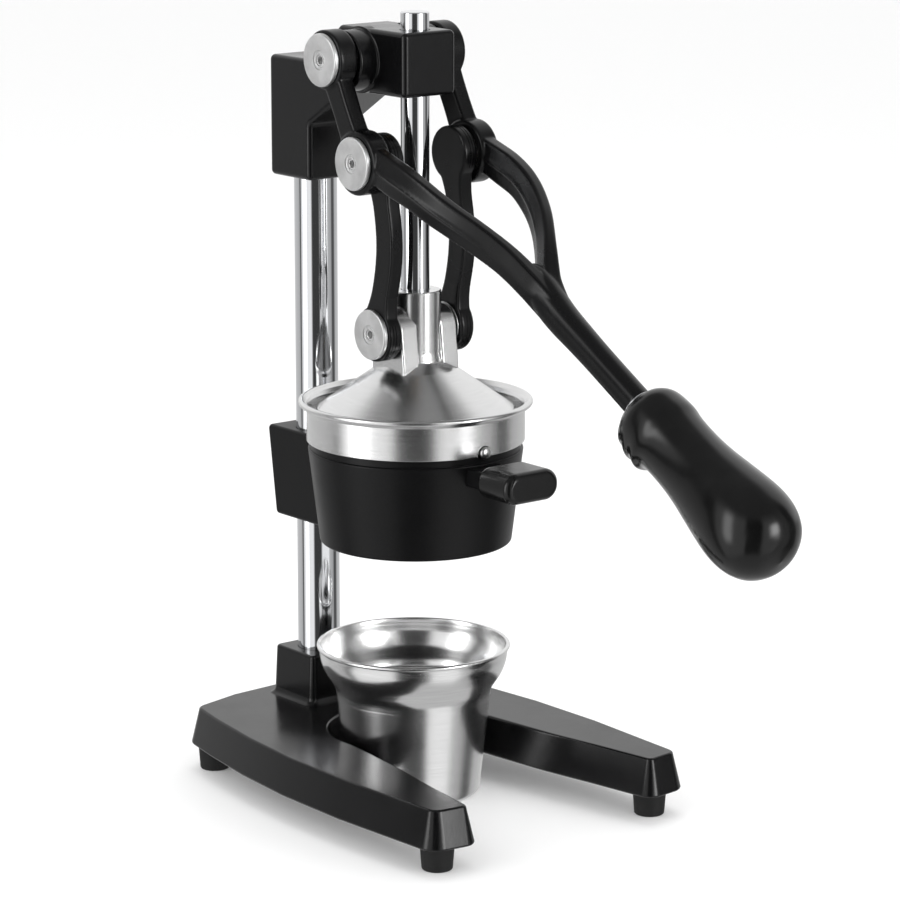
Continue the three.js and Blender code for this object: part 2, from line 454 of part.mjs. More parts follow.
// swelling on the underside of the collar
const gripPoints = turnedGrip.attributes.position;
for (let i = 0; i < gripPoints.count; i++) {
  const [x, y, z] = [gripPoints.getX(i), gripPoints.getY(i), gripPoints.getZ(i)];
  const r = Math.hypot(x, z);
  if (r <= GRIP.bore + GAP) continue;
  const fade = Math.max(0, 1 - Math.abs(-y - GRIP.bulgeAt) / GRIP.bulgeReach);
  const swollen = 1 + (GRIP.bulge * fade * Math.max(0, -z / r) ** 2) / r;
  gripPoints.setXYZ(i, x * swollen, y, z * swollen);
}
add(leverBody, 'grip', turnedGrip, BLACK_GLOSS, [0, -GRIP.start, 0]);
add(leverBody, 'grip_ferrule', new THREE.LatheGeometry([[GRIP.bore, 2.3], [10, 2.3], [10, GAP],
  [GRIP.bore, GAP], [GRIP.bore, 2.3]].map(([r, y]) => new THREE.Vector2(r, y)), 20), CHROME,
[0, -GRIP.start, 0]);

// ---- pivots -------------------------------------------------------------------------------
// pin with a wide disc head; its shank runs from the head inwards to xEnd
function pivotPin(side, xHead, xEnd, headR) {
  const top = xHead + CAP.t;
  const profile = [[0, xEnd], [CAP.pinR, xEnd], [CAP.pinR, xHead], [headR, xHead],
    [headR, top - 0.9], [headR - 0.9, top], [CAP.dishR, top], [CAP.dishR - 1, top - CAP.dish],
    [0, top - CAP.dish]];
  return cut(turnedX(profile.map(([r, x]) => [r, side * x])),
    rodX(CAP.hexR, side * (xHead - 0.6), side * (top + 1), 0, 0, 6));
}
const washer = (side, x0, x1, r) => turnedX([[CAP.pinR + GAP, x0], [r, x0], [r, x1],
  [CAP.pinR + GAP, x1], [CAP.pinR + GAP, x0]].map(([q, x]) => [q, side * x]), 16);
const headAt = [0, H.y, H.z];
const elbowAt = [0, 0, linkLength];
for (const [name, s] of sides) {
  const [wide, narrow] = s < 0 ? [CAP.r, CAP.pressR] : [CAP.rightR, CAP.rightR];
  add(frameBody, `head_pin_${name}`, pivotPin(s, LEVER.x1 + GAP, 16, wide), SATIN, headAt);
  add(frameBody, `head_washer_${name}`, washer(s, HEAD.bossX + GAP, LEVER.x0 - GAP, 12), STEEL, headAt);
  add(linkBody, `elbow_pin_${name}`, pivotPin(s, LEVER.x1 + GAP, 23, wide), SATIN, elbowAt);
  add(linkBody, `elbow_washer_${name}`, washer(s, LINK.x1 + GAP, LEVER.x0 - GAP, 13), STEEL, elbowAt);
  add(linkBody, `press_pin_${name}`, pivotPin(s, LINK.x1 + GAP, LINK.x0 + 0.4, narrow), SATIN);
  add(linkBody, `press_washer_${name}`, washer(s, CONE.lugX + 0.5, LINK.x0 - GAP, 12.5), STEEL);
}

// ---- press links --------------------------------------------------------------------------
// the link body's own frame has its origin on the press pivot and +Z towards the elbow
const linkSteps = 14;
function linkEdge(side) {
  return Array.from({ length: linkSteps + 1 }, (_, k) => {
    const t = k / linkSteps;
    const nearest = Math.min(t, 1 - t) / LINK.flareReach;
    const flare = nearest < 1 ? LINK.flare * (1 - nearest) ** 2 : 0;
    const bow = LINK.bow * (4 * t * (1 - t)) ** LINK.bowPower;
    return [side * (LINK.width / 2 + flare) - bow, t * linkLength];
  });
}
const linkFace = [...linkEdge(1), ...linkEdge(-1).reverse()];
for (const [name, s] of sides) {
  const [x0, x1] = span(s, LINK.x0, LINK.x1);
  add(linkBody, `press_link_${name}`, cut(join(extrude(linkFace, x0, x1, 0.8, inYZ, 1),
    eyeRing(LINK.eyeR, x0, x1, 0.8, 0, linkLength), eyeRing(LINK.eyeR, x0, x1, 0.8)),
  rodX(LINK.boreR, s * 22.6, s * (LINK.x1 + 2), 0, linkLength),
  rodX(LINK.boreR, s * (LINK.x0 - 2), s * (LINK.x1 + 2))), BLACK_PAINT);
}

// ---- juice cup ----------------------------------------------------------------------------
const cupRoll = arc(CUP.rimR - CUP.rollR, CUP.height - CUP.rollR, CUP.rollR, -80, 150, 4);
// [outer radius, height] from the foot of the wall to the lip, bowl-shaped above the neck
const cupWall = [[CUP.bottomR, 3], [42.7, 56], [43.3, 59.5], [44.6, 62.4], [46.6, 65.4], [48.9, 69],
  [50.6, 73], [51.7, 77], [52.2, 81]];
add(cupBody, 'juice_cup', turned([[0, 1.6], [31, 1.6], [32, 0], [CUP.bottomR - 2.6, 0],
  [CUP.bottomR - 0.8, 0.9], ...cupWall, ...cupRoll,
  ...cupWall.slice(1).reverse().map(([r, z]) => [r - CUP.sheet, z + 0.4]),
  [CUP.bottomR - CUP.sheet, 4], [CUP.bottomR - 3, 2.8], [0, 2.8]], 40), STEEL);

export default part;
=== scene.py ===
"""Looks of the citrus press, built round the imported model. Shapes are in millimetres, with the guide shaft's
axis at X = 0, Y = 0, and are moved to the frame's place when their mesh is made."""

import json
import math

import bmesh
import bpy
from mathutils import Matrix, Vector


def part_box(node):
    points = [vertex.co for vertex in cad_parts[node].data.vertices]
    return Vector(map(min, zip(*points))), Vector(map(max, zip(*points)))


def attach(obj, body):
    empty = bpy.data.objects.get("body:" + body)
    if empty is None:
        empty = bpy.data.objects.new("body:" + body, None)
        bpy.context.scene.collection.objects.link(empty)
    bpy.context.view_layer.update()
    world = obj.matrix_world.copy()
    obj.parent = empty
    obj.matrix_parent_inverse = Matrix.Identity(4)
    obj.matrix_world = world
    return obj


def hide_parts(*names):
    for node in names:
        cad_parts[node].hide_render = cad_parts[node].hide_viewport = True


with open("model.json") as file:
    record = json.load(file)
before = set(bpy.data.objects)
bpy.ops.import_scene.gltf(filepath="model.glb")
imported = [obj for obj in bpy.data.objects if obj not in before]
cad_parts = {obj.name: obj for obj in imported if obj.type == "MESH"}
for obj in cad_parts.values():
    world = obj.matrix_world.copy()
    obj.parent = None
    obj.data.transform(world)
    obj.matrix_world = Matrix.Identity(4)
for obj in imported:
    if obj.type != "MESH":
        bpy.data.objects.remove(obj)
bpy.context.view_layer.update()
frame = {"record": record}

# ---- dimensions, most of them the part's own ----------------------------------------------
MM = 0.001
shaft_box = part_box("guide_shaft")
AXIS_Y = (shaft_box[0].y + shaft_box[1].y) / 2 / MM
GAP = 0.3

COLUMN_R, COLUMN_Y, COLUMN_BOTTOM, COLUMN_TOP = 12, 90, 20.3, 396
BASE_BOTTOM, BASE_TOP, BASE_DRAFT, NOTCH_R, NOTCH_Y = 14.5, 35.7, 4.5, 46.5, 5
FOOT_H, FOOT_TOP_R, FOOT_BOTTOM_R = 14.2, 9.3, 8.2
FEET = {"front_left": (-74, -112), "front_right": (74, -112), "rear_left": (-64, 104),
        "rear_right": (64, 104)}
SOCKET_HALF, SOCKET_TOP, SOCKET_FOOT, SOCKET_FILLET, SOCKET_EDGE = 18, 64, 4.6, 4, 1.6
HEAD_HALF, HEAD_FRONT, HEAD_REAR, HEAD_TOP, HEAD_UNDER = 17.5, -13.4, 109, 424, 389.3
HEAD_REAR_TOP, HEAD_REAR_UNDER, HEAD_REAR_FRONT = 402.6, 335.5, 72
HEAD_CORNER, HEAD_EDGE = 2.9, 2.8
HEAD_BOSS_R, HEAD_BOSS_X, HEAD_BOSS_DROP, BOSS_FILLET = 16.5, 29.5, 1.6, 1.5
BUSH_R, BUSH_BOTTOM, BUSH_TOP = 10, HEAD_UNDER + 1, HEAD_TOP - 3.3
SHAFT_R, SHAFT_BOTTOM, SHAFT_TOP = 7.75, 244.3, 433.7
HEAD_PIVOT, ELBOW, PRESS_PIVOT = (25, 408.5), (-2.5, 356), (0, 262)
TILT = math.radians(30.4)
ARM_X0, ARM_X1, HEAD_EYE_R, ELBOW_EYE_R = 30.8, 42.5, 16, 17.2
CRANK_X0, CRANK_X1, PARTING_LINE = ARM_X0 + 1.2, ARM_X1 - 0.6, 0.95
BAR_R, BAR_HOLLOW, SHOULDER, TANG_R, TANG_END = 8, 1.1, 210.4, 6, 266
GRIP_START, GRIP_LENGTH, GRIP_BORE, GRIP_BORE_DEPTH = 213, 118.3, 6.3, 54.5
GRIP_BULGE, GRIP_SCALLOP, GRIP_PITCH, GRIP_TRIM = 3.2, 0.9, 8.2, 0.35
CAP_R, CAP_PRESS_R, CAP_RIGHT_R, CAP_T, CAP_HEX_R, PIN_R = 14.3, 13.6, 11.2, 2.6, 2.4, 6
LINK_X0, LINK_X1, LINK_EYE_R, LINK_WIDTH, LINK_BORE = 20.6, 29, 15, 13.9, 6.3
LINK_BOW, LINK_BOW_POWER, LINK_FLARE, LINK_FLARE_REACH, LINK_EDGE = 8.1, 1.8, 8, 0.27, 0.9
LINK_GROOVES, GROOVE_DEPTH, GROOVE_FROM, GROOVE_SWEEP = (24.5, 26.3, 28.1), 0.6, 64, 232
CONE_R, CONE_EDGE, CONE_BRIM, CONE_TOP, CONE_NECK_R = 53.7, 215.5, 218.5, 241, 21.5
SLEEVE_R, SLEEVE_TOP, LUG_X0, LUG_X1, LUG_R, LUG_HALF, LUG_BOTTOM = 14, 283.7, 8, 19, 12, 14, 238.7
RIM_R, RIM_TOP, WALL_R, SKIRT_Z, SHEET = 64, 223.8, 59.7, 201, 1.5
HOLDER_TOP_R, HOLDER_TOP, HOLDER_BOTTOM_R, HOLDER_BOTTOM = 59, 197, 52.5, 144.3
COLLAR_TOP, COLLAR_R, THROAT_R, OUTLET_R = 207.2, 57.8, 55, 11
BRACKET_HALF, BRACKET_TOP, BRACKET_BOTTOM = 17, 192, 141
TAB_HALF, TAB_H, TAB_Z, TAB_Y0, TAB_Y1, TAB_CORNER, TAB_EDGE = 18, 17, 191.5, -73.5, -101, 8.2, 4.0
NECK_HALF, NECK_ROOT = 10.5, -55.4
TONGUE_HALF, TONGUE_END, TONGUE_ROOT, TONGUE_BOTTOM, TONGUE_TOP = 6, -92, -70, 188, 194.5
REAMER_RIBS, REAMER_POINTS, SLOTS, SLOT_HALF, SLOT_NEAR, SLOT_FAR = 8, 160, 16, 0.9, 33.9, 48.1
ARCH_R, ARCH_Z = 4.4, 202.6
CUP_Y, CUP_RIM_R, CUP_H, CUP_BOTTOM_R, CUP_SHEET = 2.5, 53.5, 85, 37, 1.2
COLUMN_BOLT_R, SET_SCREW_R, FOOT_SCREW_R, SHAFT_STUD_R = 5, 3, 2, 4
TAB_SCREW_R, TAB_SCREW_Y, STRAINER_PIN_R, STRAINER_PIN_Z = 1.5, -86, 1.7, 203.2
# each set screw's height and where its outer end is
SET_SCREWS = {"base_set_screw": (51, 107), "head_set_screw_lower": (350, 108),
              "head_set_screw_upper": (384, 108), "holder_set_screw_lower": (154, 107.5),
              "holder_set_screw_upper": (180, 110.5)}
# castings that are joined from pieces: the size of the skin's cells, and how much it is softened
SKIN_VOXEL, SKIN_ROUNDS, SKIN_FACTOR = 0.6, 4, 0.5


# ---- mesh helpers -------------------------------------------------------------------------
def rounded(corners, steps=6, closed=True):
    """Polygon or open line with rounded corners; a corner is (u, v) or (u, v, radius)."""
    out = []
    count = len(corners)
    for i, corner in enumerate(corners):
        u, v = corner[:2]
        r = corner[2] if len(corner) > 2 else 0
        if not r or (not closed and i in (0, count - 1)):
            out.append((u, v))
            continue
        here = Vector((u, v))
        d0 = (Vector(corners[i - 1][:2]) - here).normalized()
        d1 = (Vector(corners[(i + 1) % count][:2]) - here).normalized()
        half = math.acos(max(-1, min(1, d0.dot(d1)))) / 2
        reach = r / math.tan(half)
        centre = here + (d0 + d1).normalized() * (r / math.sin(half))
        a = here + d0 * reach - centre
        b = here + d1 * reach - centre
        start = math.atan2(a.y, a.x)
        sweep = (math.atan2(b.y, b.x) - start + math.pi) % (2 * math.pi) - math.pi
        for k in range(steps + 1):
            w = start + sweep * k / steps
            out.append((centre.x + r * math.cos(w), centre.y + r * math.sin(w)))
    return out


def rectangle(u0, u1, v0, v1, r=0):
    """Corners for rounded(), each with radius r."""
    return [(u0, v0, r), (u1, v0, r), (u1, v1, r), (u0, v1, r)]


def quarter(step):
    """Sine and cosine every so many degrees up to a right angle."""
    return [(math.sin(math.radians(w)), math.cos(math.radians(w))) for w in range(step, 91, step)]


def area(poly):
    """Area of a polygon, below zero where it runs clockwise."""
    return sum(p[0] * q[1] - q[0] * p[1] for p, q in zip(poly, poly[1:] + poly[:1])) / 2


def offset(poly, d):
    """Moves every side of a polygon outwards by d."""
    sign = 1 if area(poly) > 0 else -1
    out = []
    for i, (u, v) in enumerate(poly):
        p = poly[i - 1]
        q = poly[(i + 1) % len(poly)]
        a = Vector((u - p[0], v - p[1])).normalized()
        b = Vector((q[0] - u, q[1] - v)).normalized()
        na = Vector((a.y, -a.x)) * sign
        nb = Vector((b.y, -b.x)) * sign
        m = (na + nb).normalized()
        k = d / max(0.5, m.dot(na))
        out.append((u + m.x * k, v + m.y * k))
    return out


def arc(cu, cv, r, a0, a1, n):
    return [(cu + r * math.cos(math.radians(a0 + (a1 - a0) * i / n)),
             cv + r * math.sin(math.radians(a0 + (a1 - a0) * i / n))) for i in range(n + 1)]


def make(name, verts, faces):
    """A closed mesh object from millimetre points."""
    mesh = bpy.data.meshes.new(name)
    mesh.from_pydata([(x * MM, (y + AXIS_Y) * MM, z * MM) for x, y, z in verts], [], faces)
    ob = bpy.data.objects.new(name, mesh)
    bpy.context.scene.collection.objects.link(ob)
    bm = bmesh.new()
    bm.from_mesh(mesh)
    bmesh.ops.remove_doubles(bm, verts=bm.verts, dist=1e-6)
    bmesh.ops.dissolve_degenerate(bm, edges=bm.edges, dist=1e-7)
    bmesh.ops.recalc_face_normals(bm, faces=bm.faces)
    bm.to_mesh(mesh)
    bm.free()
    return ob


def skin(name, rings):
    """Skin through rings that share one point count, with flat ends."""
    n = len(rings[0])
    verts = [p for ring in rings for p in ring]
    faces = []
    for k in range(len(rings) - 1):
        for i in range(n):
            j = (i + 1) % n
            faces.append((k * n + i, k * n + j, (k + 1) * n + j, (k + 1) * n + i))
    faces.append(tuple(range(n - 1, -1, -1)))
    faces.append(tuple(range((len(rings) - 1) * n, len(rings) * n)))
    return make(name, verts, faces)


def lathe(name, profile, place, seg=96, wave=None):
    """Turned body from (radius, distance) pairs; place puts (radius, angle, distance) in space."""
    loop = profile[0] == profile[-1]
    points = profile[:-1] if loop else profile
    verts = []
    rows = []
    for r, t in points:
        if r < 1e-6:
            rows.append([len(verts)])
            verts.append(place(0, 0, t))
            continue
        rows.append(list(range(len(verts), len(verts) + seg)))
        for i in range(seg):
            a = 2 * math.pi * i / seg
            verts.append(place(r + (wave(t, a) if wave else 0), a, t))
    faces = []
    for k in range(len(rows) if loop else len(rows) - 1):
        p, q = rows[k], rows[(k + 1) % len(rows)]
        for i in range(seg):
            j = (i + 1) % seg
            if len(p) == 1 and len(q) == 1:
                continue
            if len(p) == 1:
                faces.append((p[0], q[j], q[i]))
            elif len(q) == 1:
                faces.append((p[i], p[j], q[0]))
            else:
                faces.append((p[i], p[j], q[j], q[i]))
    return make(name, verts, faces)


def about_z(x=0, y=0):
    return lambda r, a, t: (x + r * math.cos(a), y + r * math.sin(a), t)


def about_x(y, z):
    return lambda r, a, t: (t, y + r * math.cos(a), z + r * math.sin(a))


def about_y(x, z):
    return lambda r, a, t: (x + r * math.cos(a), t, z + r * math.sin(a))


def rod(r, t0, t1, place, seg=48):
    return lathe("tool", [(0, t0), (r, t0), (r, t1), (0, t1)], place, seg)


def block(x0, x1, y0, y1, z0, z1):
    return skin("tool", [[(x, y, z) for x, y, _ in rectangle(x0, x1, y0, y1)] for z in (z0, z1)])


def extrude(name, poly, a0, a1, r, place, steps=5, grow0=0.0, grow1=0.0):
    """Outline carried from a0 to a1 with rims rounded by r; grow0 and grow1 widen it at either end."""
    rings = []
    for k in range(steps + 1):
        w = math.pi / 2 * k / steps
        rings.append((a0 + r * (1 - math.cos(w)), grow0 - r * (1 - math.sin(w))))
    for k in range(steps + 1):
        w = math.pi / 2 * k / steps
        rings.append((a1 - r * (1 - math.sin(w)), grow1 - r * (1 - math.cos(w))))
    return skin(name, [[place(u, v, a) for u, v in offset(poly, d)] for a, d in rings])


def in_yz(u, v, a):
    return (a, u, v)


def in_xy(u, v, a):
    return (u, v, a)


def in_xz(u, v, a):
    return (u, a, v)


def bake_modifiers(ob):
    """Turns the modifiers into mesh."""
    bpy.context.view_layer.update()
    graph = bpy.context.evaluated_depsgraph_get()
    mesh = bpy.data.meshes.new_from_object(ob.evaluated_get(graph))
    ob.modifiers.clear()
    old = ob.data
    ob.data = mesh
    bpy.data.meshes.remove(old)


def boolean(ob, tools, operation):
    for tool in tools:
        m = ob.modifiers.new("boolean", "BOOLEAN")
        m.operation = operation
        m.solver = "MANIFOLD"
        m.object = tool
    bake_modifiers(ob)
    for tool in tools:
        mesh = tool.data
        bpy.data.objects.remove(tool)
        bpy.data.meshes.remove(mesh)
    return ob


def join(ob, *tools):
    return boolean(ob, tools, "UNION")


def cut(ob, *tools):
    return boolean(ob, tools, "DIFFERENCE")


def soften(ob):
    """Casts a joined body as one skin whose corners and creases are softened."""
    m = ob.modifiers.new("skin", "REMESH")
    m.mode = "VOXEL"
    m.voxel_size = SKIN_VOXEL * MM
    m = ob.modifiers.new("soften", "SMOOTH")
    m.factor = SKIN_FACTOR
    m.iterations = SKIN_ROUNDS
    bake_modifiers(ob)


# ---- materials ----------------------------------------------------------------------------
class Nodes:
    """Short hand for the node tree of a world or a material."""

    def __init__(self, owner):
        owner.use_nodes = True
        self.tree = owner.node_tree

    def add(self, kind, values=None, links=None, **options):
        node = self.tree.nodes.new(kind)
        for key, value in options.items():
            setattr(node, key, value)
        for key, value in (values or {}).items():
            node.inputs[key].default_value = value
        for key, value in (links or {}).items():
            self.tree.links.new(value, node.inputs[key])
        return node

    def math(self, operation, *operands):
        """Sum, product and so on of operands that are each a number or a socket."""
        values = {k: v for k, v in enumerate(operands) if not isinstance(v, bpy.types.NodeSocket)}
        links = {k: v for k, v in enumerate(operands) if isinstance(v, bpy.types.NodeSocket)}
        return self.add("ShaderNodeMath", values, links, operation=operation).outputs["Value"]

    def grey_ramp(self, value, stops):
        """Grey level read off a smooth line through (place, level) stops."""
        node = self.add("ShaderNodeValToRGB", None, {"Fac": value})
        node.color_ramp.interpolation = "EASE"
        while len(node.color_ramp.elements) < len(stops):
            node.color_ramp.elements.new(1)
        for element, (place, level) in zip(node.color_ramp.elements, stops):
            element.position = place
        for element, (place, level) in zip(node.color_ramp.elements, stops):
            element.color = (level, level, level, 1)
        return node.outputs["Color"]


class Finish(Nodes):
    """A material whose principled shader is fed by noises in object space."""

    def __init__(self, name):
        self.material = bpy.data.materials.new(name)
        super().__init__(self.material)
        self.shader = self.tree.nodes["Principled BSDF"]
        self.coords = self.tree.nodes.new("ShaderNodeTexCoord").outputs["Object"]

    def noise(self, coords, scale, detail=2.0, roughness=0.5, distortion=0.0):
        values = {"Scale": scale, "Detail": detail, "Roughness": roughness, "Distortion": distortion}
        return self.add("ShaderNodeTexNoise", values, {"Vector": coords}).outputs["Fac"]

    def ranged(self, value, to_min, to_max, from_min=0.3, from_max=0.7):
        values = {"From Min": from_min, "From Max": from_max, "To Min": to_min, "To Max": to_max}
        return self.add("ShaderNodeMapRange", values, {"Value": value}).outputs["Result"]

    def colour(self, value, low, high, at_low=0.35, at_high=0.65):
        node = self.add("ShaderNodeValToRGB", None, {"Fac": value})
        node.color_ramp.elements[0].position = at_low
        node.color_ramp.elements[0].color = (*low, 1)
        node.color_ramp.elements[1].position = at_high
        node.color_ramp.elements[1].color = (*high, 1)
        return node.outputs["Color"]

    def bump(self, height, strength, distance, under=None):
        values = {"Strength": strength, "Distance": distance}
        links = {"Height": height} if under is None else {"Height": height, "Normal": under}
        return self.add("ShaderNodeBump", values, links).outputs["Normal"]

    def set(self, **values):
        names = {"base": "Base Color", "rough": "Roughness", "metal": "Metallic", "normal": "Normal",
                 "coat": "Coat Weight", "coat_rough": "Coat Roughness", "aniso": "Anisotropic",
                 "specular": "Specular IOR Level"}
        for key, value in values.items():
            socket = self.shader.inputs[names[key]]
            if isinstance(value, bpy.types.NodeSocket):
                self.tree.links.new(value, socket)
            elif key == "base":
                socket.default_value = (*value, 1)
            else:
                socket.default_value = value
        return self.material


def cast_paint(name, base_low, base_high, rough, grain, grain_depth, peel_depth, specular):
    """Powder coat: fine grain over a soft orange peel, with patches that are a little more matt."""
    n = Finish(name)
    fine = n.noise(n.coords, grain, 3.0, 0.6)
    peel = n.noise(n.coords, 210, 2.0)
    patch = n.noise(n.coords, 26, 4.0, 0.6)
    speck = n.noise(n.coords, 2400, 1.0)
    normal = n.bump(peel, 0.35, peel_depth)
    normal = n.bump(fine, 0.5, grain_depth, normal)
    return n.set(base=n.colour(speck, base_low, base_high, 0.42, 0.72),
                 rough=n.ranged(patch, rough - 0.05, rough + 0.07), normal=normal, specular=specular)


def gloss_plastic(name):
    n = Finish(name)
    peel = n.noise(n.coords, 120, 1.5)
    smear = n.noise(n.coords, 35, 5.0, 0.65, 0.6)
    return n.set(base=n.colour(smear, (0.003, 0.003, 0.003), (0.005, 0.005, 0.005)),
                 rough=n.ranged(smear, 0.13, 0.22), normal=n.bump(peel, 0.12, 0.0002),
                 specular=0.28, coat=0.2, coat_rough=0.1)


def rubber(name):
    n = Finish(name)
    fine = n.noise(n.coords, 1500, 3.0)
    patch = n.noise(n.coords, 60, 4.0)
    return n.set(base=n.colour(patch, (0.005, 0.005, 0.005), (0.012, 0.012, 0.012)),
                 rough=n.ranged(patch, 0.62, 0.8), normal=n.bump(fine, 0.5, 0.00006), specular=0.35)


def tinted(base, tint):
    """A colour made a little darker and a little lighter."""
    return tuple(c * (1 - tint) for c in base), tuple(min(1, c * (1 + tint)) for c in base)


LINE_STRETCH = 0.0012  # metres of noise for each radian: small, so that the lines run far round the axis


def turned_metal(name, axis_y, base, rough, lines, line_depth, spread=0.05, tint=0.03, aniso=0.0):
    """Metal with fine tool or brush lines round a vertical axis at axis_y, in millimetres."""
    n = Finish(name)
    local = n.add("ShaderNodeVectorMath", {1: (0, (axis_y + AXIS_Y) * MM, 0)}, {0: n.coords},
                  operation="SUBTRACT").outputs["Vector"]
    flat = n.add("ShaderNodeVectorMath", {1: (1, 1, 0)}, {0: local}, operation="MULTIPLY").outputs["Vector"]
    radius = n.add("ShaderNodeVectorMath", None, {0: flat}, operation="LENGTH").outputs["Value"]
    parts = n.add("ShaderNodeSeparateXYZ", None, {0: local})
    slow = n.math("MULTIPLY", n.math("ARCTAN2", parts.outputs["Y"], parts.outputs["X"]), LINE_STRETCH)
    ring = n.add("ShaderNodeCombineXYZ", None, {"X": radius, "Y": slow, "Z": parts.outputs["Z"]})
    brush = n.noise(ring.outputs["Vector"], lines, 4.0, 0.7)
    smudge = n.noise(n.coords, 22, 5.0, 0.6, 0.4)
    mixed = n.math("ADD", n.math("MULTIPLY", brush, 0.5), n.ranged(smudge, 0.0, 0.5))
    return n.set(base=n.colour(brush, *tinted(base, tint)), metal=1.0,
                 rough=n.ranged(mixed, rough - spread, rough + spread, 0.2, 0.8),
                 normal=n.bump(brush, 0.25, line_depth), aniso=aniso)


def plain_metal(name, base, rough, grain=900, depth=0.00003, spread=0.05, tint=0.05):
    """Satin or machined metal with an even fine grain."""
    n = Finish(name)
    fine = n.noise(n.coords, grain, 3.0, 0.6)
    patch = n.noise(n.coords, 90, 4.0, 0.6)
    return n.set(base=n.colour(patch, *tinted(base, tint)), metal=1.0,
                 rough=n.ranged(patch, rough - spread, rough + spread), normal=n.bump(fine, 0.4, depth))


PAINT_LOW, CHROME_COLOUR = (0.002, 0.002, 0.0022), (0.80, 0.81, 0.83)
CAST_BLACK = cast_paint("cast_black_paint", PAINT_LOW, (0.006, 0.006, 0.0065), 0.20, 1100, 0.00006,
                        0.0001, 0.36)
LEVER_BLACK = cast_paint("lever_black_paint", PAINT_LOW, (0.004, 0.004, 0.0044), 0.26, 900, 0.000008,
                         0.00004, 0.3)
FUNNEL_BLACK = cast_paint("funnel_black_paint", PAINT_LOW, (0.0055, 0.0055, 0.006), 0.34, 1100, 0.00003,
                          0.00006, 0.2)
GLOSS_BLACK = gloss_plastic("gloss_black_plastic")
RUBBER = rubber("foot_rubber")
SHAFT_CHROME = turned_metal("shaft_chrome", 0, CHROME_COLOUR, 0.07, 1800, 0.000004, 0.02, 0.01)
COLUMN_CHROME = turned_metal("column_chrome", COLUMN_Y, CHROME_COLOUR, 0.07, 1800, 0.000004, 0.02, 0.01)
FERRULE_CHROME = plain_metal("ferrule_chrome", CHROME_COLOUR, 0.09, 700, 0.000004, 0.02, 0.01)
CONE_METAL = turned_metal("cone_polished_aluminium", 0, (0.80, 0.80, 0.80), 0.22, 1300, 0.000003, 0.04,
                          0.03, 0.35)
STRAINER_STEEL = turned_metal("strainer_brushed_steel", 0, (0.78, 0.78, 0.78), 0.23, 1500, 0.000004, 0.04,
                              0.04, 0.4)
CUP_STEEL = turned_metal("cup_brushed_steel", CUP_Y, (0.80, 0.80, 0.80), 0.20, 1500, 0.000004, 0.04,
                         0.04, 0.4)
CAP_SATIN = plain_metal("cap_satin_nickel", (0.76, 0.76, 0.76), 0.44, 1300, 0.00006, 0.05, 0.08)
SMALL_STEEL = plain_metal("fastener_steel", (0.56, 0.56, 0.56), 0.28)
BRONZE = plain_metal("bearing_bronze", (0.50, 0.31, 0.13), 0.35)
MATERIALS = {"black_paint": CAST_BLACK, "gloss_black": GLOSS_BLACK, "rubber": RUBBER, "chrome": SHAFT_CHROME,
             "stainless": STRAINER_STEEL, "steel": SMALL_STEEL, "satin_cap": CAP_SATIN,
             "cast_aluminium": CONE_METAL, "bronze": BRONZE}

slot_of = {row["node"]: row["material_slot"] for row in frame["record"]["subparts"]}
body_of = {node: body for body, names in frame["record"]["behaviour"]["bodies"].items() for node in names}


def dress(ob, node, material=None, sharp=38):
    """Finishes a piece that stands for a CAD node: smooth faces, its finish, its body."""
    ob.name = ob.data.name = node + "_piece"
    ob.data.materials.clear()
    ob.data.materials.append(material or MATERIALS[slot_of[node]])
    ob.data.shade_smooth()
    ob.data.set_sharp_from_angle(angle=math.radians(sharp))
    weighted = ob.modifiers.new("even_faces", "WEIGHTED_NORMAL")
    weighted.keep_sharp = True
    weighted.weight = 60
    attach(ob, body_of[node])
    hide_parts(node)


SIDES = (("left", -1), ("right", 1))


# ---- base ---------------------------------------------------------------------------------
outer_side = [(40, 118.6), (71, 111, 8), (77, 83), (83.5, 43), (87.6, 0), (88.2, -50), (84.2, -122, 6),
              (63.5, -124.5, 3), (58, -88), (52, -54), (47.5, -15)]
half_outline = outer_side + arc(0, NOTCH_Y, NOTCH_R, -8, 84, 16)
mirrored = [(-c[0], *c[1:]) for c in reversed(half_outline)]
base_outline = rounded([(0, 121)] + half_outline + [(0, NOTCH_Y + NOTCH_R)] + mirrored, 6)
base = extrude("base", base_outline, BASE_BOTTOM, BASE_TOP, 1.5, in_xy, 5, BASE_DRAFT, 0.2)

socket_face = rounded(rectangle(-SOCKET_HALF, SOCKET_HALF, COLUMN_Y - SOCKET_HALF, COLUMN_Y + SOCKET_HALF, 3),
                      5)
# height, growth of the outline: a fillet at the foot and a rounded top edge
socket_steps = [(BASE_TOP - 1.7, SOCKET_FOOT), (BASE_TOP - 0.3, SOCKET_FOOT)]
socket_steps += [(BASE_TOP + SOCKET_FILLET * (1 - cosine), SOCKET_FOOT + 0.6 - SOCKET_FILLET * sine)
                 for sine, cosine in quarter(15)]
socket_steps += [(SOCKET_TOP - SOCKET_EDGE, 0.1)]
socket_steps += [(SOCKET_TOP - SOCKET_EDGE * (1 - sine), 0.1 - SOCKET_EDGE * (1 - cosine))
                 for sine, cosine in quarter(18)]
join(base, skin("socket", [[(u, v, z) for u, v in offset(socket_face, d)] for z, d in socket_steps]))


def set_screw_hole(node):
    place = about_y(0, SET_SCREWS[node][0])
    return rod(SET_SCREW_R + GAP, COLUMN_Y + COLUMN_R - 1, HEAD_REAR + 12, place, 32)


def column_bore(z0, z1):
    return rod(COLUMN_R + GAP, z0, z1, about_z(0, COLUMN_Y), 96)


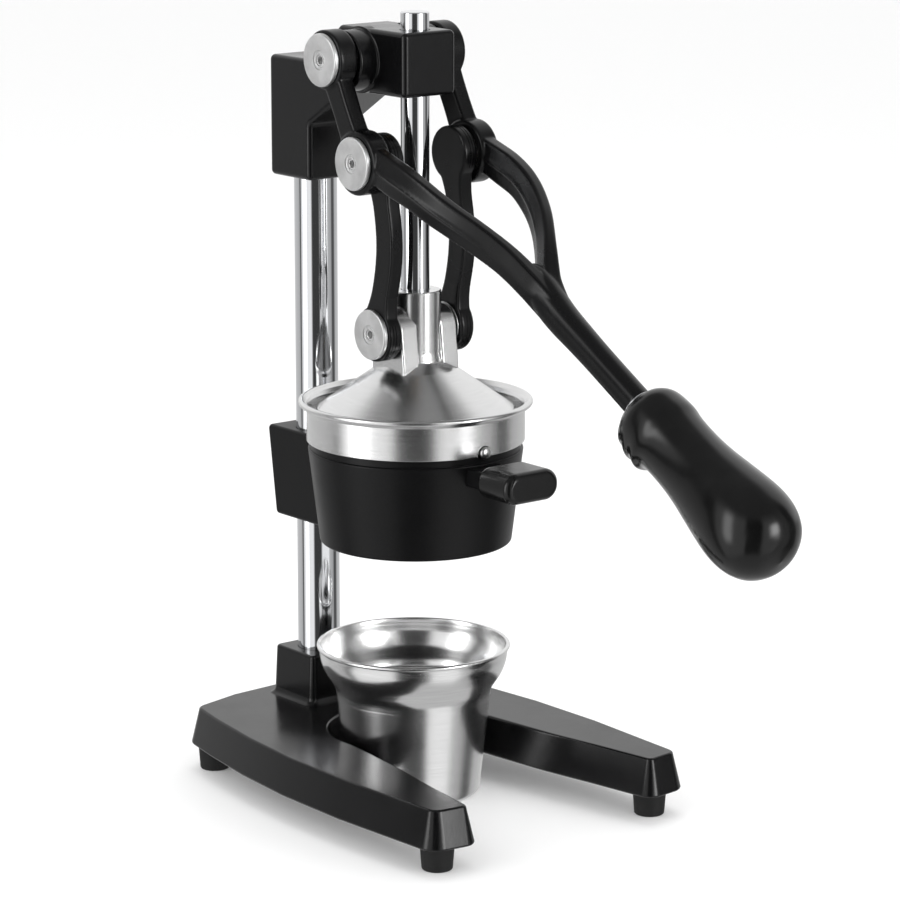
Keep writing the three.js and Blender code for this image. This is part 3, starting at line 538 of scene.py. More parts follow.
SCREW_TOP = BASE_BOTTOM + 10.4
cut(base, column_bore(COLUMN_BOTTOM - GAP, SOCKET_TOP + 4),
    rod(COLUMN_BOLT_R + GAP, BASE_BOTTOM - 2, COLUMN_BOTTOM + 1, about_z(0, COLUMN_Y)),
    set_screw_hole("base_set_screw"),
    *[rod(FOOT_SCREW_R + GAP, BASE_BOTTOM - 1, SCREW_TOP + 0.6, about_z(x, y), 24) for x, y in FEET.values()])
dress(base, "base_casting", CAST_BLACK, 30)

foot = rounded([(2.4, 5.2), (5, 5.2, 0.4), (5, 0, 0.4), (FOOT_BOTTOM_R, 0, 1.2), (FOOT_TOP_R, FOOT_H, 0.5),
                (2.4, FOOT_H)], 5)
foot_screw = rounded([(0, 2.6), (4.2, 2.6, 0.5), (4.2, 4.9, 0.3), (FOOT_SCREW_R, 4.9),
                      (FOOT_SCREW_R, SCREW_TOP, 0.4), (0, SCREW_TOP)], 4, False)
for spot, (x, y) in FEET.items():
    dress(lathe("foot", foot + foot[:1], about_z(x, y), 64), f"foot_{spot}")
    screw = lathe("screw", foot_screw, about_z(x, y), 32)
    dress(cut(screw, rod(1.7, 1, 3.9, about_z(x, y), 6)), f"foot_screw_{spot}")

# ---- column -------------------------------------------------------------------------------
column = lathe("column", rounded([(0, COLUMN_BOTTOM), (COLUMN_R, COLUMN_BOTTOM, 1), (COLUMN_R, COLUMN_TOP, 1),
                                  (0, COLUMN_TOP)], 4, False), about_z(0, COLUMN_Y), 128)
cut(column, rod(COLUMN_BOLT_R + GAP, COLUMN_BOTTOM - 1, COLUMN_BOTTOM + 26, about_z(0, COLUMN_Y)))
dress(column, "column", COLUMN_CHROME)


def hex_head(r, z0, z1, place):
    """Hexagon whose corners are turned off at the end below."""
    turned = [(0, z0), (r * 0.84, z0), (r * 1.02, z0 + 1.3), (r * 1.02, z1), (0, z1)]
    return boolean(rod(r, z0, z1, place, 6), [lathe("tool", turned, place, 48)], "INTERSECT")


bolt = join(hex_head(8.8, 6.2, 12.2, about_z(0, COLUMN_Y)),
            rod(10.5, 12, BASE_BOTTOM - GAP, about_z(0, COLUMN_Y)),
            rod(COLUMN_BOLT_R, 13, COLUMN_BOTTOM + 25, about_z(0, COLUMN_Y)))
dress(bolt, "column_bolt")

# ---- head ---------------------------------------------------------------------------------
head_profile = rounded([(HEAD_FRONT, HEAD_UNDER, HEAD_CORNER), (36, HEAD_UNDER, 4), (HEAD_REAR_FRONT, 367, 4),
                        (HEAD_REAR_FRONT, HEAD_REAR_UNDER, HEAD_CORNER),
                        (HEAD_REAR, HEAD_REAR_UNDER, HEAD_CORNER), (HEAD_REAR, HEAD_REAR_TOP, HEAD_CORNER),
                        (64, HEAD_REAR_TOP, 5), (48, HEAD_TOP - 3, 3), (44, HEAD_TOP, 3),
                        (HEAD_FRONT, HEAD_TOP, HEAD_CORNER)], 6)
head = extrude("head", head_profile, -HEAD_HALF, HEAD_HALF, HEAD_EDGE, in_yz, 6)
boss_foot_r, boss_foot_x = HEAD_BOSS_R + BOSS_FILLET, HEAD_HALF + 0.3
boss = [(0, 12), (boss_foot_r, 12), (boss_foot_r, boss_foot_x)]
boss += [(boss_foot_r - BOSS_FILLET * sine, boss_foot_x + BOSS_FILLET * (1 - cosine))
         for sine, cosine in quarter(15)]
boss += rounded([(HEAD_BOSS_R, 20), (HEAD_BOSS_R, HEAD_BOSS_X, 1.0), (0, HEAD_BOSS_X)], 4, False)[1:]
for _, side in SIDES:
    place = about_x(HEAD_PIVOT[0], HEAD_PIVOT[1] - HEAD_BOSS_DROP)
    join(head, lathe("boss", [(r, side * x) for r, x in boss], place, 96))
cut(head, column_bore(HEAD_REAR_UNDER - 3, COLUMN_TOP + GAP),
    rod(BUSH_R + GAP, HEAD_UNDER - 2, HEAD_TOP - 3, about_z(), 64),
    rod(SHAFT_R + 0.5, HEAD_TOP - 4, HEAD_TOP + 2, about_z(), 64),
    set_screw_hole("head_set_screw_lower"), set_screw_hole("head_set_screw_upper"),
    *[rod(PIN_R + GAP, side * 15.5, side * (HEAD_BOSS_X + 2), about_x(*HEAD_PIVOT)) for _, side in SIDES])
dress(head, "head_casting", CAST_BLACK, 30)

bush = [(SHAFT_R + GAP, BUSH_BOTTOM), (BUSH_R, BUSH_BOTTOM), (BUSH_R, BUSH_TOP), (SHAFT_R + GAP, BUSH_TOP)]
dress(lathe("bush", bush + bush[:1], about_z(), 64), "guide_bush")

inner = COLUMN_Y + COLUMN_R + GAP
for node, (z, outer) in SET_SCREWS.items():
    profile = [(0, inner), (SET_SCREW_R, inner, 0.8), (SET_SCREW_R, outer, 0.4), (0, outer)]
    screw = lathe("screw", rounded(profile, 3, False), about_y(0, z), 40)
    dress(cut(screw, rod(1.5, outer - 2.4, outer + 1, about_y(0, z), 6)), node)

# ---- juice holder -------------------------------------------------------------------------
funnel = [(THROAT_R, 188, 6), (48, 178, 5), (14, 158, 5), (OUTLET_R, 154, 2)]
outside = rounded([(OUTLET_R, HOLDER_BOTTOM, 0.8), (HOLDER_BOTTOM_R, HOLDER_BOTTOM, 1.8),
                   (HOLDER_TOP_R, HOLDER_TOP, 1.0), (COLLAR_R, HOLDER_TOP, 0.2), (COLLAR_R, COLLAR_TOP, 0.6),
                   (THROAT_R, COLLAR_TOP, 0.5)] + funnel, 6)
holder = lathe("holder", outside + outside[:1], about_z(), 160)
bracket_side = [(40, BRACKET_BOTTOM), (107.8, BRACKET_BOTTOM), (115, BRACKET_TOP), (40, BRACKET_TOP)]
bracket_side = rounded([(y, z, 2.5) for y, z in bracket_side], 5)
bracket = extrude("bracket", bracket_side, -BRACKET_HALF, BRACKET_HALF, 2, in_yz, 5)
inside = rounded([(0, COLLAR_TOP + 3), (THROAT_R, COLLAR_TOP + 3)] + funnel
                 + [(OUTLET_R, HOLDER_BOTTOM - 5), (0, HOLDER_BOTTOM - 5)], 6, False)
cut(bracket, lathe("tool", inside, about_z(), 160))
neck_outline = rounded(rectangle(-NECK_HALF, NECK_HALF, TAB_Y0 + GAP, NECK_ROOT, 1), 4)
neck = extrude("neck", neck_outline, 185.5, 195.8, 1.2, in_xy, 4)
join(holder, bracket, neck,
     block(-TONGUE_HALF, TONGUE_HALF, TONGUE_END, TONGUE_ROOT, TONGUE_BOTTOM, TONGUE_TOP))
cut(holder, column_bore(BRACKET_BOTTOM - 3, BRACKET_TOP + 3),
    set_screw_hole("holder_set_screw_lower"), set_screw_hole("holder_set_screw_upper"),
    rod(STRAINER_PIN_R + GAP, -54, -62, about_y(0, STRAINER_PIN_Z), 32),
    rod(TAB_SCREW_R + GAP, 186.5, 193, about_z(0, TAB_SCREW_Y), 24))
dress(holder, "holder_casting", FUNNEL_BLACK, 30)

tab_face = rounded(rectangle(-TAB_HALF, TAB_HALF, TAB_Z - TAB_H / 2, TAB_Z + TAB_H / 2, TAB_CORNER), 14)
tab = extrude("tab", tab_face, TAB_Y1, TAB_Y0, TAB_EDGE, in_xz, 8)
cut(tab, block(-TONGUE_HALF - GAP, TONGUE_HALF + GAP, TONGUE_END - GAP, TAB_Y0 + 2, TONGUE_BOTTOM - GAP,
               TONGUE_TOP + GAP),
    rod(TAB_SCREW_R + 0.5, 180, 189, about_z(0, TAB_SCREW_Y), 24),
    rod(4, 180, 185.2, about_z(0, TAB_SCREW_Y), 32))
dress(tab, "tab_handle")
tab_screw = rounded([(0, 183.2), (3.6, 183.2, 0.6), (3.6, 184.9), (TAB_SCREW_R, 184.9), (TAB_SCREW_R, 192.5),
                     (0, 192.5)], 4, False)
tab_screw = lathe("screw", tab_screw, about_z(0, TAB_SCREW_Y), 32)
dress(cut(tab_screw, rod(1.4, 182, 184, about_z(0, TAB_SCREW_Y), 6)), "tab_screw")

pin_profile = rounded([(0, -62.4), (3.4, -61.6, 1.6), (3.4, -58.8, 0.4), (STRAINER_PIN_R, -58.8),
                       (STRAINER_PIN_R, -55.2), (0, -55.2)], 6, False)
dress(lathe("pin", pin_profile, about_y(0, STRAINER_PIN_Z), 48), "strainer_pin")

# ---- strainer with centre reamer ----------------------------------------------------------
SEAT = COLLAR_TOP + GAP
roll = arc(RIM_R - 1.7, RIM_TOP - 1.7, 1.7, -110, 120, 14)
bowl_r = WALL_R - SHEET
shell = rounded([(0, 192.4), (53, 195.4, 1.2), (54.3, 197.4, 0.8), (54.4, SEAT, 0.3), (bowl_r, SEAT, 0.6),
                 (bowl_r, SKIRT_Z, 0.4), (WALL_R, SKIRT_Z, 0.4), (WALL_R, RIM_TOP - 5, 1.5)], 4, False)
shell += roll
shell += rounded([roll[-1], (WALL_R - 0.4, RIM_TOP - 2.2, 0.5), (bowl_r, RIM_TOP - 4.2, 1.5),
                  (bowl_r, SEAT + SHEET + 1.6, 1.8), (bowl_r - 1.6, SEAT + SHEET, 1),
                  (53, SEAT + SHEET - 0.2, 1), (52.4, 197.6, 2), (0, 194.4)], 5, False)[1:]
strainer = lathe("strainer", shell, about_z(), 192)
# height, radius of the ribs, depth of the hollows between them
reamer_steps = [(193, 27, 0.5), (194.6, 26.9, 1.0), (196, 26.6, 1.6), (198.5, 25.9, 2.2), (201, 25, 2.6),
                (204, 23.6, 2.8), (207, 21.8, 2.8), (210, 19.4, 2.7), (213, 16.6, 2.4), (215.5, 13.8, 2.1),
                (218, 10.6, 1.7), (220, 7.6, 1.2), (221.5, 5, 0.8), (222.3, 3.0, 0.4), (222.6, 1.6, 0.2)]


def reamer_ring(z, r, deep):
    ring = []
    for i in range(REAMER_POINTS):
        w = 2 * math.pi * i / REAMER_POINTS
        reach = r - deep * (1 - abs(math.cos(REAMER_RIBS * w / 2)) ** 0.8)
        ring.append((reach * math.cos(w), reach * math.sin(w), z))
    return ring


join(strainer, skin("reamer", [reamer_ring(*row) for row in reamer_steps]))
slot_end = arc(0, 0, SLOT_HALF, -90, 90, 8)
slot_outline = [(SLOT_FAR + u, v) for u, v in slot_end] + [(SLOT_NEAR - u, -v) for u, v in slot_end]
tools = []
for i in range(SLOTS):
    w = 2 * math.pi * (i + 0.5) / SLOTS
    tools.append(skin("tool", [[(u * math.cos(w) - v * math.sin(w), u * math.sin(w) + v * math.cos(w), z)
                                for u, v in slot_outline] for z in (190, 200)]))
arch = arc(0, ARCH_Z, ARCH_R, 0, 180, 24) + [(-ARCH_R, 198), (ARCH_R, 198)]
tools.append(skin("tool", [[(u, y, v) for u, v in arch] for y in (-62, -54)]))
cut(strainer, *tools)
dress(strainer, "strainer", STRAINER_STEEL, 34)

# ---- press cone and guide shaft -----------------------------------------------------------
cone_profile = rounded([(0, 238.2), (20, 237.8, 6), (CONE_R - 3.4, CONE_EDGE + 1, 1.0),
                        (CONE_R - 3, CONE_EDGE, 0.4), (CONE_R, CONE_EDGE, 0.8), (CONE_R, CONE_BRIM, 0.7),
                        (CONE_NECK_R + 1, CONE_TOP - 0.6, 2), (SLEEVE_R + 1.2, 245, 1), (SLEEVE_R, 250, 3),
                        (SLEEVE_R, SLEEVE_TOP, 0.9), (0, SLEEVE_TOP)], 6, False)
cone = lathe("cone", cone_profile, about_z(), 192)
lug_face = arc(*PRESS_PIVOT, LUG_R, 0, 180, 32)
lug_face += [(-LUG_HALF, 244), (-LUG_HALF, LUG_BOTTOM), (LUG_HALF, LUG_BOTTOM), (LUG_HALF, 244)]
for _, side in SIDES:
    x0, x1 = sorted((side * LUG_X0, side * LUG_X1))
    join(cone, extrude("lug", lug_face, x0, x1, 1.0, in_yz, 5))
cut(cone, rod(SHAFT_R + GAP, SHAFT_BOTTOM - GAP, SLEEVE_TOP + 3, about_z(), 64),
    rod(SHAFT_STUD_R + GAP, 233, SHAFT_BOTTOM + 1, about_z(), 48))
dress(cone, "press_cone", CONE_METAL, 34)

shaft_profile = rounded([(0, SHAFT_BOTTOM), (SHAFT_R, SHAFT_BOTTOM, 0.5), (SHAFT_R, SHAFT_TOP, 0.9),
                         (0, SHAFT_TOP)], 5, False)
shaft = lathe("shaft", shaft_profile, about_z(), 96)
join(shaft, rod(SHAFT_STUD_R, 230.4, SHAFT_BOTTOM + 1, about_z()))
dress(shaft, "guide_shaft", SHAFT_CHROME)
nut = join(hex_head(7.4, 230.9, 236.4, about_z()), rod(8.6, 236.2, 237.5, about_z(), 64))
dress(cut(nut, rod(SHAFT_STUD_R + GAP, 229, 239, about_z())), "shaft_nut")


# ---- lever --------------------------------------------------------------------------------
def lever(s, n, x):
    """Point at distance s along the lever from the elbow, n above its axis."""
    return (x, ELBOW[0] - s * math.cos(TILT) - n * math.sin(TILT),
            ELBOW[1] - s * math.sin(TILT) + n * math.cos(TILT))


def along_lever(s0):
    return lambda r, a, t: lever(s0 + t, r * math.sin(a), r * math.cos(a))


def spline(rows, per_span=6):
    """Catmull-Rom curve through rows of numbers."""
    out = []
    for i in range(len(rows) - 1):
        p0, p1, p2, p3 = rows[max(0, i - 1)], rows[i], rows[i + 1], rows[min(len(rows) - 1, i + 2)]
        for k in range(per_span):
            t = k / per_span
            out.append([0.5 * (2 * b + (c - a) * t + (2 * a - 5 * b + 4 * c - d) * t * t
                               + (3 * b - a - 3 * c + d) * t ** 3) for a, b, c, d in zip(p0, p1, p2, p3)])
    out.append(list(rows[-1]))
    return out


def smooth(t, lo, hi):
    t = max(0, min(1, (t - lo) / (hi - lo)))
    return t * t * (3 - 2 * t)


def arm_section(w, h, s):
    """Tall bar whose side faces meet in a raised line at mid height, which fades towards the crotch."""
    line = PARTING_LINE * smooth(s, 10, 24) * (1 - smooth(s, 82, 94))
    flank = [(w - 1.2, -h, 1.7), (w - 0.1, -1.5, 1.5), (w + line, 0, 0.5), (w - 0.1, 1.5, 1.5),
             (w - 1.2, h, 1.7)]
    return rounded([(x * u, x * v, r) for x in (1, -1) for u, v, r in flank], 5)


# along the lever, out from the middle, above the axis, half width, half height
arm_path = [[6, 36.6, 5.5, 5.4, 9], [17, 36.8, 7.5, 5.2, 9.6], [30, 36.6, 10, 5, 10],
            [44, 35.4, 12.2, 4.8, 9.4], [57, 32.8, 12.6, 4.6, 9.2], [69, 28.8, 12.6, 4.4, 8.9],
            [80, 24, 12.2, 4.3, 8.8], [90, 18.9, 11, 4.3, 8.7], [98, 14.6, 9.6, 4.5, 8.5],
            [105, 11, 7.8, 4.9, 8.3], [112, 7.6, 5.6, 5.2, 8.2], [120, 4.2, 3.2, 5.4, 8.2],
            [132, 1.5, 0.8, 5.4, 8]]
arm_rows = spline(arm_path)


def fork_arm(side):
    rings = []
    for i, (s, x, n, w, h) in enumerate(arm_rows):
        p, q = arm_rows[max(0, i - 1)], arm_rows[min(len(arm_rows) - 1, i + 1)]
        d = Vector((q[0] - p[0], q[1] - p[1])).normalized()
        rings.append([lever(s - u * d.y, n + v, side * (x + u * d.x)) for u, v in arm_section(w, h, s)])
    return skin("arm", rings)


# along the lever, above the axis, half width, half height
bar_path = [[106, 5.4, 4, 5], [112, 4.6, 6.5, 7.5], [120, 2.8, 9, 9], [130, 1, 9.2, 9.4], [142, 0, 8.8, 9],
            [158, 0, 8.3, 8.4], [176, 0, BAR_R, BAR_R], [SHOULDER - 0.8, 0, BAR_R, BAR_R]]


def bar_ring(s, n, rx, rn):
    """Oval with a shallow flat hollow on each flank once past the crotch."""
    deep = BAR_HOLLOW * smooth(s, 116, 136)
    ring = []
    for i in range(72):
        w = 2 * math.pi * i / 72
        k = 1 - deep / rx * math.exp(-(math.sin(w) / 0.42) ** 2)
        ring.append(lever(s, n + rn * math.sin(w), rx * k * math.cos(w)))
    return ring


bar_rows = spline(bar_path) + [[SHOULDER, 0, BAR_R - 0.8, BAR_R - 0.8]]
fork = skin("bar", [bar_ring(*row) for row in bar_rows])


def along(start, d, s, v):
    """Y and Z of the point s along direction d from start, and v to its side."""
    return (start[0] + d.x * s - d.y * v, start[1] + d.y * s + d.x * v)


def crank(side):
    """The stretch of a fork arm between the head pivot and the elbow, narrowest in the middle."""
    d = Vector((ELBOW[0] - HEAD_PIVOT[0], ELBOW[1] - HEAD_PIVOT[1]))
    length = d.length
    d.normalize()
    rings = []
    for s, w in spline([[0, 8.4], [14, 7.4], [length / 2, 7], [length - 14, 7.6], [length, 9]]):
        face = rounded(rectangle(CRANK_X0, CRANK_X1, -w, w, 1.8), 5)
        rings.append([(side * x, *along(HEAD_PIVOT, d, s, v)) for x, v in face])
    return skin("crank", rings)


def eye(centre, r, side, x0, x1, edge=1.2):
    profile = rounded([(0, side * x0), (r, side * x0, edge), (r, side * x1, edge), (0, side * x1)], 5, False)
    return lathe("eye", profile, about_x(*centre), 96)


join(fork, fork_arm(-1), fork_arm(1))
for _, side in SIDES:
    join(fork, crank(side), eye(HEAD_PIVOT, HEAD_EYE_R, side, ARM_X0, ARM_X1),
         eye(ELBOW, ELBOW_EYE_R, side, ARM_X0, ARM_X1))
soften(fork)
tang = rounded([(0, 200), (TANG_R, 200), (TANG_R, TANG_END, 0.8), (0, TANG_END)], 4, False)
join(fork, lathe("tang", tang, along_lever(0), 48))
cut(fork, *[rod(PIN_R + GAP, side * (ARM_X0 - 2), side * (ARM_X1 + 2), about_x(*centre))
            for _, side in SIDES for centre in (HEAD_PIVOT, ELBOW)])
dress(fork, "lever_fork", LEVER_BLACK, 40)

# distance from the collar's end, radius
grip_path = [[0, 10.5], [0.3, 12.0], [0.8, 13.2], [1.6, 14.6], [2.5, 15.8], [5, 17.6], [8.5, 18.9],
             [14, 19.6], [20, 19.8], [27, 19], [36, 18.8], [46, 19.2], [56, 20.3], [67, 22.2], [78, 24],
             [87, 25], [94, 25], [100, 24.1], [105, 22.4], [109.5, 19.8], [113.5, 15.6], [116.5, 10],
             [GRIP_LENGTH, 0]]


def grip_wave(t, a):
    """Swelling along the underside of the collar with finger scallops in a row, gone at the neck."""
    under = max(0.0, -math.sin(a)) ** 2
    fade = smooth(t, 0.5, 4) * (1 - smooth(t, 19, 27))
    return fade * under * (GRIP_BULGE + GRIP_SCALLOP * math.cos(2 * math.pi * (t - 4) / GRIP_PITCH))


# the bulb is a little slimmer than the faceted one, so that it stays inside the CAD box
grip_outside = [(max(0, r - GRIP_TRIM * smooth(t, 50, 80)), t) for t, r in spline(grip_path)]
grip_profile = [(0, GRIP_BORE_DEPTH), (GRIP_BORE, GRIP_BORE_DEPTH), (GRIP_BORE, 0)] + grip_outside
dress(lathe("grip", grip_profile, along_lever(GRIP_START), 160, grip_wave), "grip", None, 50)
ferrule = rounded([(GRIP_BORE, -2.3), (10, -2.3, 0.6), (10, -0.3, 0.4), (GRIP_BORE, -0.3)], 4)
dress(lathe("ferrule", ferrule + ferrule[:1], along_lever(GRIP_START), 96), "grip_ferrule", FERRULE_CHROME)


# ---- pivots -------------------------------------------------------------------------------
def pivot_pin(node, side, centre, x_head, x_end, head_r):
    """Pin with a wide, slightly crowned disc head, a ring step and a hexagon socket."""
    top = x_head + CAP_T
    profile = rounded([(0, x_end), (PIN_R, x_end, 0.4), (PIN_R, x_head), (head_r, x_head, 0.3),
                       (head_r, top - 0.15, 0.9), (head_r * 0.6, top), (5.4, top, 0.15),
                       (4.9, top - 0.8, 0.15), (4.0, top - 0.8, 0.15), (3.7, top - 0.25, 0.12),
                       (3.1, top - 0.25, 0.12), (2.8, top - 1.0), (0, top - 1.0)], 4, False)
    pin = lathe("pin", [(r, side * x) for r, x in profile], about_x(*centre), 96)
    cut(pin, rod(CAP_HEX_R, side * (x_head - 2.5), side * (top + 1), about_x(*centre), 6))
    dress(pin, node, CAP_SATIN)


def washer(node, side, centre, x0, x1, r1):
    bore = PIN_R + GAP
    ring = rounded([(bore, side * x0), (r1, side * x0, 0.2), (r1, side * x1, 0.2), (bore, side * x1)], 3)
    dress(lathe("washer", ring + ring[:1], about_x(*centre), 96), node)


for name, side in SIDES:
    wide, narrow = (CAP_R, CAP_PRESS_R) if side < 0 else (CAP_RIGHT_R, CAP_RIGHT_R)
    pivot_pin(f"head_pin_{name}", side, HEAD_PIVOT, ARM_X1 + GAP, 16, wide)
    washer(f"head_washer_{name}", side, HEAD_PIVOT, HEAD_BOSS_X + GAP, ARM_X0 - GAP, 12)
    pivot_pin(f"elbow_pin_{name}", side, ELBOW, ARM_X1 + GAP, 23, wide)
    washer(f"elbow_washer_{name}", side, ELBOW, LINK_X1 + GAP, ARM_X0 - GAP, 13)
    pivot_pin(f"press_pin_{name}", side, PRESS_PIVOT, LINK_X1 + GAP, LINK_X0 + 0.4, narrow)
    washer(f"press_washer_{name}", side, PRESS_PIVOT, LUG_X1 + 0.5, LINK_X0 - GAP, 12.5)

# ---- press links --------------------------------------------------------------------------
link_d = Vector((ELBOW[0] - PRESS_PIVOT[0], ELBOW[1] - PRESS_PIVOT[1]))
link_length = link_d.length
link_d.normalize()
LINK_STEPS, GROOVE_STEPS = 40, 72


def link_edge(side, k):
    """Point on one edge of the link's bar, which is bowed and flares into its eyes."""
    t = k / LINK_STEPS
    nearest = min(t, 1 - t) / LINK_FLARE_REACH
    flare = LINK_FLARE * (1 - nearest) ** 2 if nearest < 1 else 0
    v = LINK_BOW * (4 * t * (1 - t)) ** LINK_BOW_POWER + side * (LINK_WIDTH / 2 + flare)
    return along(PRESS_PIVOT, link_d, t * link_length, v)


def groove(centre, other, x):
    """Fine groove round an eye, from one edge of the link's bar to the other."""
    start = math.atan2(other[1] - centre[1], other[0] - centre[0])
    floor_r, open_r = LINK_EYE_R - GROOVE_DEPTH, LINK_EYE_R + 2
    section = ((-0.12, floor_r), (-0.5, open_r), (0.5, open_r), (0.12, floor_r))
    rings = []
    for k in range(GROOVE_STEPS + 1):
        w = start + math.radians(GROOVE_FROM + GROOVE_SWEEP * k / GROOVE_STEPS)
        rings.append([(x + u, centre[0] + r * math.cos(w), centre[1] + r * math.sin(w)) for u, r in section])
    return skin("tool", rings)


link_face = [link_edge(-1, k) for k in range(LINK_STEPS + 1)]
link_face += [link_edge(1, k) for k in range(LINK_STEPS, -1, -1)]
for name, side in SIDES:
    x0, x1 = sorted((side * LINK_X0, side * LINK_X1))
    link = extrude("link", link_face, x0, x1, LINK_EDGE, in_yz, 4)
    join(link, *[eye(centre, LINK_EYE_R, side, LINK_X0, LINK_X1, LINK_EDGE)
                 for centre in (ELBOW, PRESS_PIVOT)])
    soften(link)
    cut(link, *[groove(*ends, side * x) for x in LINK_GROOVES
                for ends in ((ELBOW, PRESS_PIVOT), (PRESS_PIVOT, ELBOW))])
    cut(link, rod(LINK_BORE, side * 22.6, side * (LINK_X1 + 2), about_x(*ELBOW)),
        rod(LINK_BORE, side * (LINK_X0 - 2), side * (LINK_X1 + 2), about_x(*PRESS_PIVOT)))
    dress(link, f"press_link_{name}", LEVER_BLACK, 40)

# ---- juice cup ----------------------------------------------------------------------------
cup_roll = arc(CUP_RIM_R - 1.2, CUP_H - 1.2, 1.2, -80, 150, 12)
cup_path = [[CUP_BOTTOM_R, 4.4], [39.4, 26], [42.3, 52], [42.7, 56], [43.3, 59.5], [44.6, 62.4], [46.6, 65.4],
            [48.9, 69], [50.6, 73], [51.7, 77], [52.2, 81], [*cup_roll[0]]]
cup_wall = [tuple(p) for p in spline(cup_path, 5)]
cup_base = rounded([(0, 1.6), (31, 1.6, 0.8), (32.4, 0, 0.8), (CUP_BOTTOM_R - 0.6, 0, 3.4),
                    (CUP_BOTTOM_R, 4.4)], 8, False)
cup_out = cup_base[:-1] + cup_wall[:-1]
cup_in = [(r - CUP_SHEET, z + 0.4) for r, z in reversed(cup_wall[:-4])] + [(CUP_BOTTOM_R - 4, 2.8), (0, 2.8)]
dress(lathe("cup", cup_out + cup_roll + cup_in, about_z(0, CUP_Y), 192), "juice_cup", CUP_STEEL)

# ---- floor, light and camera --------------------------------------------------------------
FLOOR = 14.0
floor_mesh = bpy.data.meshes.new("floor")
floor_mesh.from_pydata(rectangle(-FLOOR, FLOOR, -FLOOR, FLOOR), [], [(0, 1, 2, 3)])
floor = bpy.data.objects.new("floor", floor_mesh)
bpy.context.scene.collection.objects.link(floor)
paper = Finish("pale_floor")
paper.set(base=(0.86, 0.86, 0.86), rough=0.65, specular=0.2)
paper.shader.inputs["Emission Color"].default_value = (1, 1, 1, 1)
paper.shader.inputs["Emission Strength"].default_value = 0.12
floor_mesh.materials.append(paper.material)
floor.visible_glossy = False

CAMERA_AT = Vector((-1.2164, -1.5536 + AXIS_Y * MM, 0.6371))
CAMERA_YAW, CAMERA_PITCH, CAMERA_LENS = math.radians(38.604), math.radians(12.65), 147.96
camera_data = bpy.data.cameras.new("camera")
camera_data.lens = CAMERA_LENS
camera_data.sensor_width = 36
camera_data.clip_end = 60
camera = bpy.data.objects.new("camera", camera_data)
camera.location = CAMERA_AT
camera.rotation_euler = (math.radians(90) - CAMERA_PITCH, 0, -CAMERA_YAW)
bpy.context.scene.collection.objects.link(camera)
bpy.context.scene.camera = camera

AIM = Vector((0, AXIS_Y * MM * 0.5, 0.22))


def softbox(name, turn, distance, height, width, tall, power):
    """Area light at an angle, in degrees, to the right of the camera as seen from the object."""
    data = bpy.data.lights.new(name, "AREA")
    data.shape = "RECTANGLE"
    data.size = width
    data.size_y = tall
    data.energy = power
    ob = bpy.data.objects.new(name, data)
    w = CAMERA_YAW + math.radians(180 - turn)
    ob.location = (AIM.x + math.sin(w) * distance, AIM.y + math.cos(w) * distance, height)
    ob.rotation_euler = (AIM - ob.location).to_track_quat("-Z", "Y").to_euler()
    ob.visible_camera = False
    ob.visible_glossy = False
    bpy.context.scene.collection.objects.link(ob)


softbox("softbox_left", -55, 1.5, 0.75, 1.3, 1.7, 8)
softbox("softbox_right", 55, 1.5, 0.75, 1.3, 1.7, 7)
softbox("softbox_top", 180, 0.6, 1.9, 1.6, 1.0, 8)

world = bpy.data.worlds.new("studio")
bpy.context.scene.world = world
room = Nodes(world)
room.tree.nodes.clear()
# What shines on the metal. Rows of (degrees to the right of the camera, level) are followed by rows of
# (degrees above the horizon, level), which say how far up and down it reaches.
AROUND = [(-180, 0.75), (-115, 0.55), (-97, 0.45), (-93, 0.10), (-88, 0.10), (-80, 0.9), (-27, 0.95),
          (-17, 0.05), (16, 0.05), (27, 0.95), (58, 0.95), (69, 0.5), (86, 0.42), (98, 0.08), (112, 0.12),
          (120, 0.5), (150, 0.6), (180, 0.75)]
REACH = [(-90, 0), (-54, 0), (-34, 1), (30, 1), (52, 0), (90, 0)]
# the level of ceiling and floor, where the bands above end
REST = [(-90, 0.55), (-54, 0.55), (-34, 0), (30, 0), (52, 0.26), (90, 0.26)]
# the pale wall that the back of the machine faces
BACK = [(-180, 1), (-128, 1), (-108, 0), (108, 0), (128, 1), (180, 1)]
BACK_REACH = [(-90, 0), (-4, 0), (6, 1), (46, 1), (64, 0), (90, 0)]
BACK_LEVEL = 0.95
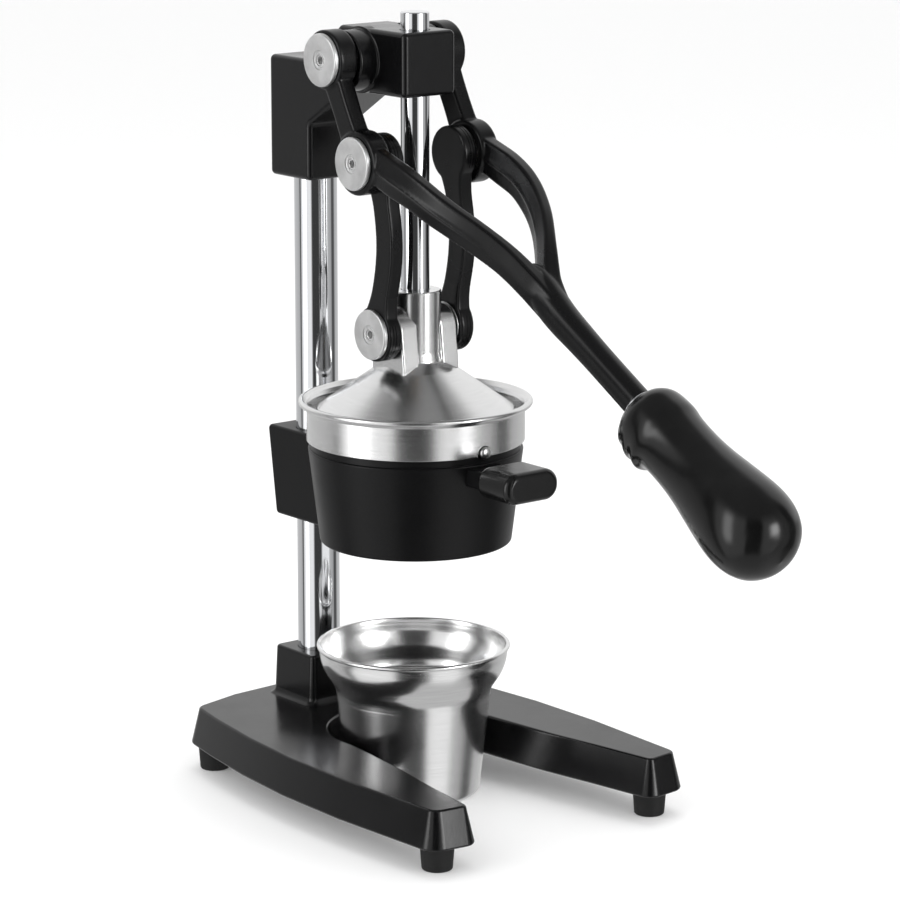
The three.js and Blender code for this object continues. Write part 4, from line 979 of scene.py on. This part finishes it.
# two lamps: a spot on the right and a streak on the left
SPOT = [(-180, 0), (34, 0), (50, 1), (56, 1), (68, 0), (180, 0)]
SPOT_REACH = [(-90, 0), (-14, 0), (5, 1), (13, 1), (32, 0), (90, 0)]
STREAK = [(-180, 0), (-74, 0), (-64, 1), (-58, 1), (-47, 0), (180, 0)]
STREAK_REACH = [(-90, 0), (-26, 0), (-2, 1), (26, 1), (46, 0), (90, 0)]
SPOT_LEVEL, STREAK_LEVEL = 8.0, 3.5
to_right = (math.cos(CAMERA_YAW), -math.sin(CAMERA_YAW), 0)
to_camera = (-math.sin(CAMERA_YAW), -math.cos(CAMERA_YAW), 0)
away = room.add("ShaderNodeTexCoord").outputs["Generated"]
right, towards = (room.add("ShaderNodeVectorMath", {1: axis}, {0: away},
                           operation="DOT_PRODUCT").outputs["Value"] for axis in (to_right, to_camera))
turn = room.math("MULTIPLY_ADD", room.math("ARCTAN2", right, towards), 0.5 / math.pi, 0.5)
height = room.math("MULTIPLY_ADD", room.add("ShaderNodeSeparateXYZ", None, {0: away}).outputs["Z"], 0.5, 0.5)


def by_turn(rows):
    return room.grey_ramp(turn, [(w / 360 + 0.5, level) for w, level in rows])


def by_height(rows):
    return room.grey_ramp(height, [(math.sin(math.radians(w)) / 2 + 0.5, level) for w, level in rows])


shine = room.math("ADD", room.math("MULTIPLY", by_turn(AROUND), by_height(REACH)), by_height(REST))
back = room.math("MULTIPLY", by_turn(BACK), by_height(BACK_REACH))
shine = room.math("ADD", room.math("MULTIPLY", shine, room.math("SUBTRACT", 1.0, back)),
                  room.math("MULTIPLY", back, BACK_LEVEL))
for around, reach, level in ((SPOT, SPOT_REACH, SPOT_LEVEL), (STREAK, STREAK_REACH, STREAK_LEVEL)):
    lamp = room.math("MULTIPLY", room.math("MULTIPLY", by_turn(around), by_height(reach)), level)
    shine = room.math("ADD", shine, lamp)
pale = room.add("ShaderNodeBackground", {"Color": (1, 1, 1, 1)})
bands = room.add("ShaderNodeBackground", None, {"Color": shine})
path = room.add("ShaderNodeLightPath")
mix = room.add("ShaderNodeMixShader", None, {"Fac": path.outputs["Is Glossy Ray"], 1: pale.outputs[0],
                                             2: bands.outputs[0]})
room.add("ShaderNodeOutputWorld", None, {"Surface": mix.outputs[0]})
world.cycles.sampling_method = "NONE"

bpy.context.scene.view_settings.view_transform = "Standard"
